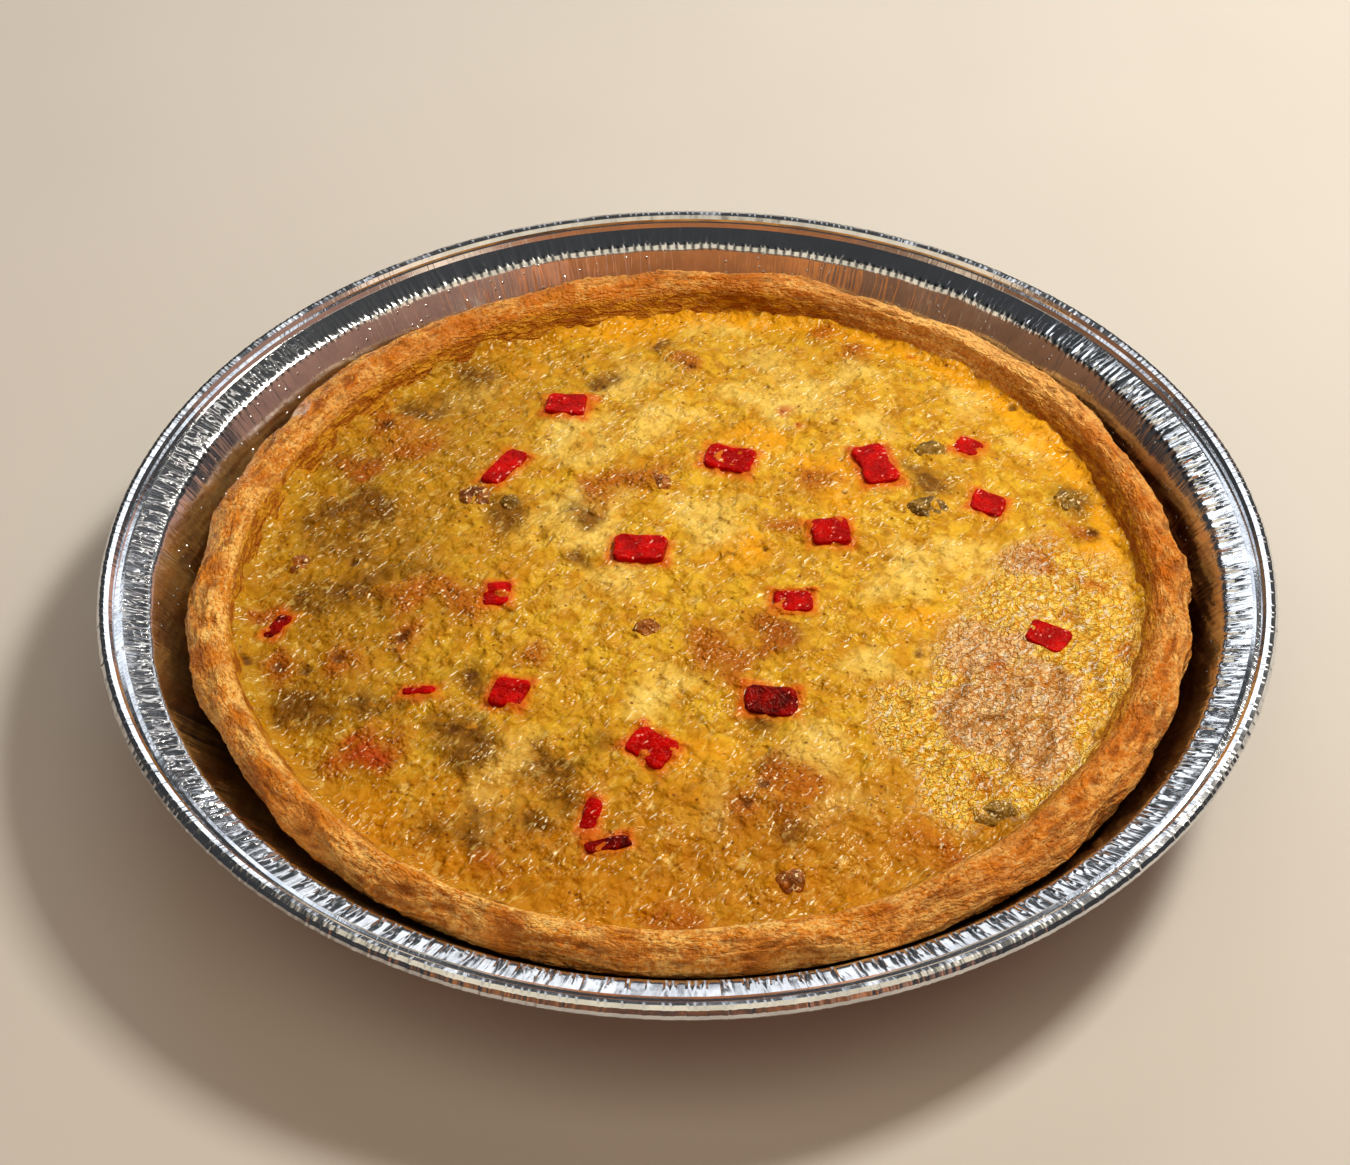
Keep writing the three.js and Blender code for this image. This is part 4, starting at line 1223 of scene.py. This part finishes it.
def makeTin():
    look = tinLook
    profile = tinProfile()
    piece = spinProfile(profile, look["steps"])

    points = readPoints(piece)
    place = profilePlace(points, profile)
    radius = np.hypot(points[:, 0], points[:, 1])
    angle = np.arctan2(points[:, 1], points[:, 0])
    column = np.round(angle / math.tau * look["steps"]).astype(int) % look["steps"]
    draw = np.random.default_rng(11)
    side = np.where(column % 2 == 0, 1.0, -1.0)
    jitter = draw.uniform(0.35, 1.15, look["steps"])[column]
    turnJitter = draw.uniform(-0.3, 0.3, look["steps"])[column] * math.tau / look["steps"]
    onWall = smooth(91.2, 94, radius) * (1 - smooth(109.2, 110.4, radius))
    onFlange = smooth(110.0, 111.4, radius) * (1 - smooth(114.8, 115.8, radius))
    onBead = smooth(117.2, 118.2, radius)

    crease, leaning = drawPleats(draw)
    firstColumn = (crease > 0) & (np.roll(crease, 1) == 0)
    firstColumn = firstColumn[column]
    crease, leaning = crease[column], leaning[column] * math.tau / look["steps"]
    middle = look["flangeMiddle"]
    around = np.stack([np.cos(angle) * middle, np.sin(angle) * middle, radius], axis=1)
    buckle = grain(around, 5.0, 32)
    fading = 0.75 + 0.25 * grain(around, 3.0, 33)
    slopeDown = np.clip((look["fold"][0] - radius) / (look["fold"][0] - look["shoulder"][-1][0]), 0, 1)
    atBack = smooth(0.35, 0.75, np.sin(angle))
    awayFromCamera = smooth(0.75, 0.35, -np.sin(angle))
    atLeftSide = smooth(0.2, 0.7, -np.cos(angle)) * awayFromCamera
    rise = look["pleatRise"] * (1 - (1 - look["backRise"]) * np.maximum(atBack, atLeftSide))

    outward = onWall * (look["fluteDepth"] * side * jitter + look["waveDepth"] * grain(around, 7.0, 34))
    outward += onBead * look["crimpDepth"] * (side * jitter * 0.3 + crease)
    upward = smooth(109.5, 110.4, radius) * slopeDown * rise * crease * fading
    upward += onFlange * (0.03 * buckle + 0.012 * side * jitter)
    upward += onBead * 0.05 * buckle
    newAngle = angle + turnJitter * np.maximum(onWall, onFlange) * (crease == 0)
    newAngle += onFlange * leaning * (radius - 112.6) / 2.6
    newRadius = radius + outward
    moving = radius > 0.01
    points[moving, 0] = (newRadius * np.cos(newAngle))[moving]
    points[moving, 1] = (newRadius * np.sin(newAngle))[moving]
    points[:, 2] += upward
    writePoints(piece, points)

    onTop = place == len(profile) - look["topRing"]
    onShoulder = (radius > 110.2) & (radius < 110.6)
    atLeft = smooth(0.3, -0.3, np.cos(angle))
    # painted shade and dark reflection: the lower wall at the right and the back is darkened where it
    # mirrors the pastry's shaded side and the dark gap
    atRightSide = smooth(-0.1, 0.6, np.cos(angle)) * smooth(0.8, 0.3, np.sin(angle))
    shadedLowerWall = smooth(109.4, 107.5, radius) * smooth(90, 91, radius)
    # painted shade: dark bars between the dots along the shoulder at the back, so that its bright reflection
    # breaks into separate glints
    isGap = column % look["gapEvery"] >= look["gapEvery"] - look["gapWidth"]
    isGap = isGap & (radius > 109.4) & (radius < 110.9) & (np.sin(angle) > 0.2)
    paint(piece, "crimp", firstColumn * (onTop + onShoulder) * 0.8)
    paint(piece, "creased", onFlange * awayFromCamera * (1 - atBack) * (0.35 + 0.65 * atLeft))
    paint(piece, "wall", onWall)
    paint(piece, "paintedWallShade", shadedLowerWall * np.maximum(atRightSide, 0.35 * atBack))
    paint(piece, "shadeBetweenDots", isGap)

    # the sheet is thickened downwards and outwards, so its faces have to look up
    baseFace = min(piece.data.polygons, key=lambda face: face.center.length)
    if baseFace.normal.z < 0:
        editAll(piece)
        bpy.ops.mesh.flip_normals()
        leaveEdit()
    wall = piece.modifiers.new("Sheet", "SOLIDIFY")
    wall.thickness = look["sheet"] * mm
    wall.offset = -1
    applyAll(piece)
    finishPiece(piece, "foilTin", makeFoilFinish(), ["foil_tin"], 22)
    print("tin:", len(piece.data.polygons), "faces")


# Pepper dice and darker bits

toppingLook = {
    "diceDepth": 3.4,
    "diceBevel": 0.28,
    "lumpDepth": 4.0,
    "lumpSunk": 0.6,
    "fineness": 0.34,
}


def diceOutline(spot, seed):
    draw = makeRandom(seed)
    corners = []
    for sideX, sideY in [(-1, -1), (1, -1), (1, 1), (-1, 1)]:
        cornerX = sideX * (spot["long"] / 2) * (0.78 + 0.22 * draw())
        cornerY = sideY * (spot["wide"] / 2) * (0.76 + 0.24 * draw())
        corners.append(Vector((cornerX, cornerY)))
    points = []
    for i, corner in enumerate(corners):
        following = corners[(i + 1) % 4]
        points.append(corner.lerp(following, 0.12))
        waist = spot["waist"] if i % 2 == 0 else 0
        points.append((corner + following) * (0.96 - waist + 0.1 * draw()) / 2)
        points.append(corner.lerp(following, 0.88))
    return points


def makeDice(number, spot, finish):
    look = toppingLook
    outline = diceOutline(spot, 99 + number)
    bottom = spot["proud"] - look["diceDepth"]
    deselectAll()
    bpy.ops.mesh.primitive_circle_add(vertices=len(outline), radius=0.005, fill_type="NGON")
    piece = bpy.context.active_object
    writePoints(piece, np.array([(point.x, point.y, bottom) for point in outline]))
    editAll(piece)
    bpy.ops.mesh.extrude_region_move(TRANSFORM_OT_translate={"value": (0, 0, look["diceDepth"] * mm)})
    bpy.ops.mesh.select_all(action="SELECT")
    bpy.ops.mesh.normals_make_consistent(inside=False)
    leaveEdit()
    edge = piece.modifiers.new("Edge", "BEVEL")
    edge.width = look["diceBevel"] * mm
    edge.segments = 3
    skinOver = piece.modifiers.new("Skin", "REMESH")
    skinOver.mode = "VOXEL"
    skinOver.voxel_size = look["fineness"] * mm
    soften = piece.modifiers.new("Soften", "SMOOTH")
    soften.iterations = 1
    roughen(piece, 4.5, 0.8)
    roughen(piece, 1.2, 0.16)
    applyAll(piece)
    placeOnSurface(piece, spot)
    finishPiece(piece, "pepper" + str(number), finish, ["pepper_%02d" % number])


def makeBit(kind, number, spot, finish):
    look = toppingLook
    deselectAll()
    bpy.ops.mesh.primitive_ico_sphere_add(subdivisions=5, radius=1)
    piece = bpy.context.active_object
    size = np.array([spot["long"] / 2, spot["wide"] / 2, look["lumpDepth"] / 2])
    points = readPoints(piece) * mm * size * 0.96
    points[:, 2] -= look["lumpSunk"]
    writePoints(piece, points)
    roughen(piece, 3.6, 2.2)
    roughen(piece, 1.5, 0.4)
    applyAll(piece)
    placeOnSurface(piece, spot)
    finishPiece(piece, "%sPiece%02d" % (kind, number), finish, ["%s_piece_%02d" % (kind, number)])


def makeToppings():
    red = makePepperFinish("redPepper", (196, 8, 3), (150, 4, 2))
    darkRed = makePepperFinish("darkPepper", (140, 8, 4), (70, 6, 4))
    seared = makeBitFinish("searedBit", (162, 92, 24), (104, 50, 10), (44, 18, 6))
    olive = makeBitFinish("oliveBit", (140, 104, 26), (92, 66, 14), (48, 32, 8))
    for number, spot in enumerate(pepperSpots, 1):
        if number in darkPeppers:
            makeDice(number, spot, darkRed)
        else:
            makeDice(number, spot, red)
    for kind, spots, finish in (("seared", searedSpots, seared), ("olive", oliveSpots, olive)):
        for number, spot in enumerate(spots, 1):
            makeBit(kind, number, spot, finish)
    print("toppings:", len(pepperSpots) + len(searedSpots) + len(oliveSpots))


makeToppings()
makeTin()
makeCrust()
makeFilling()
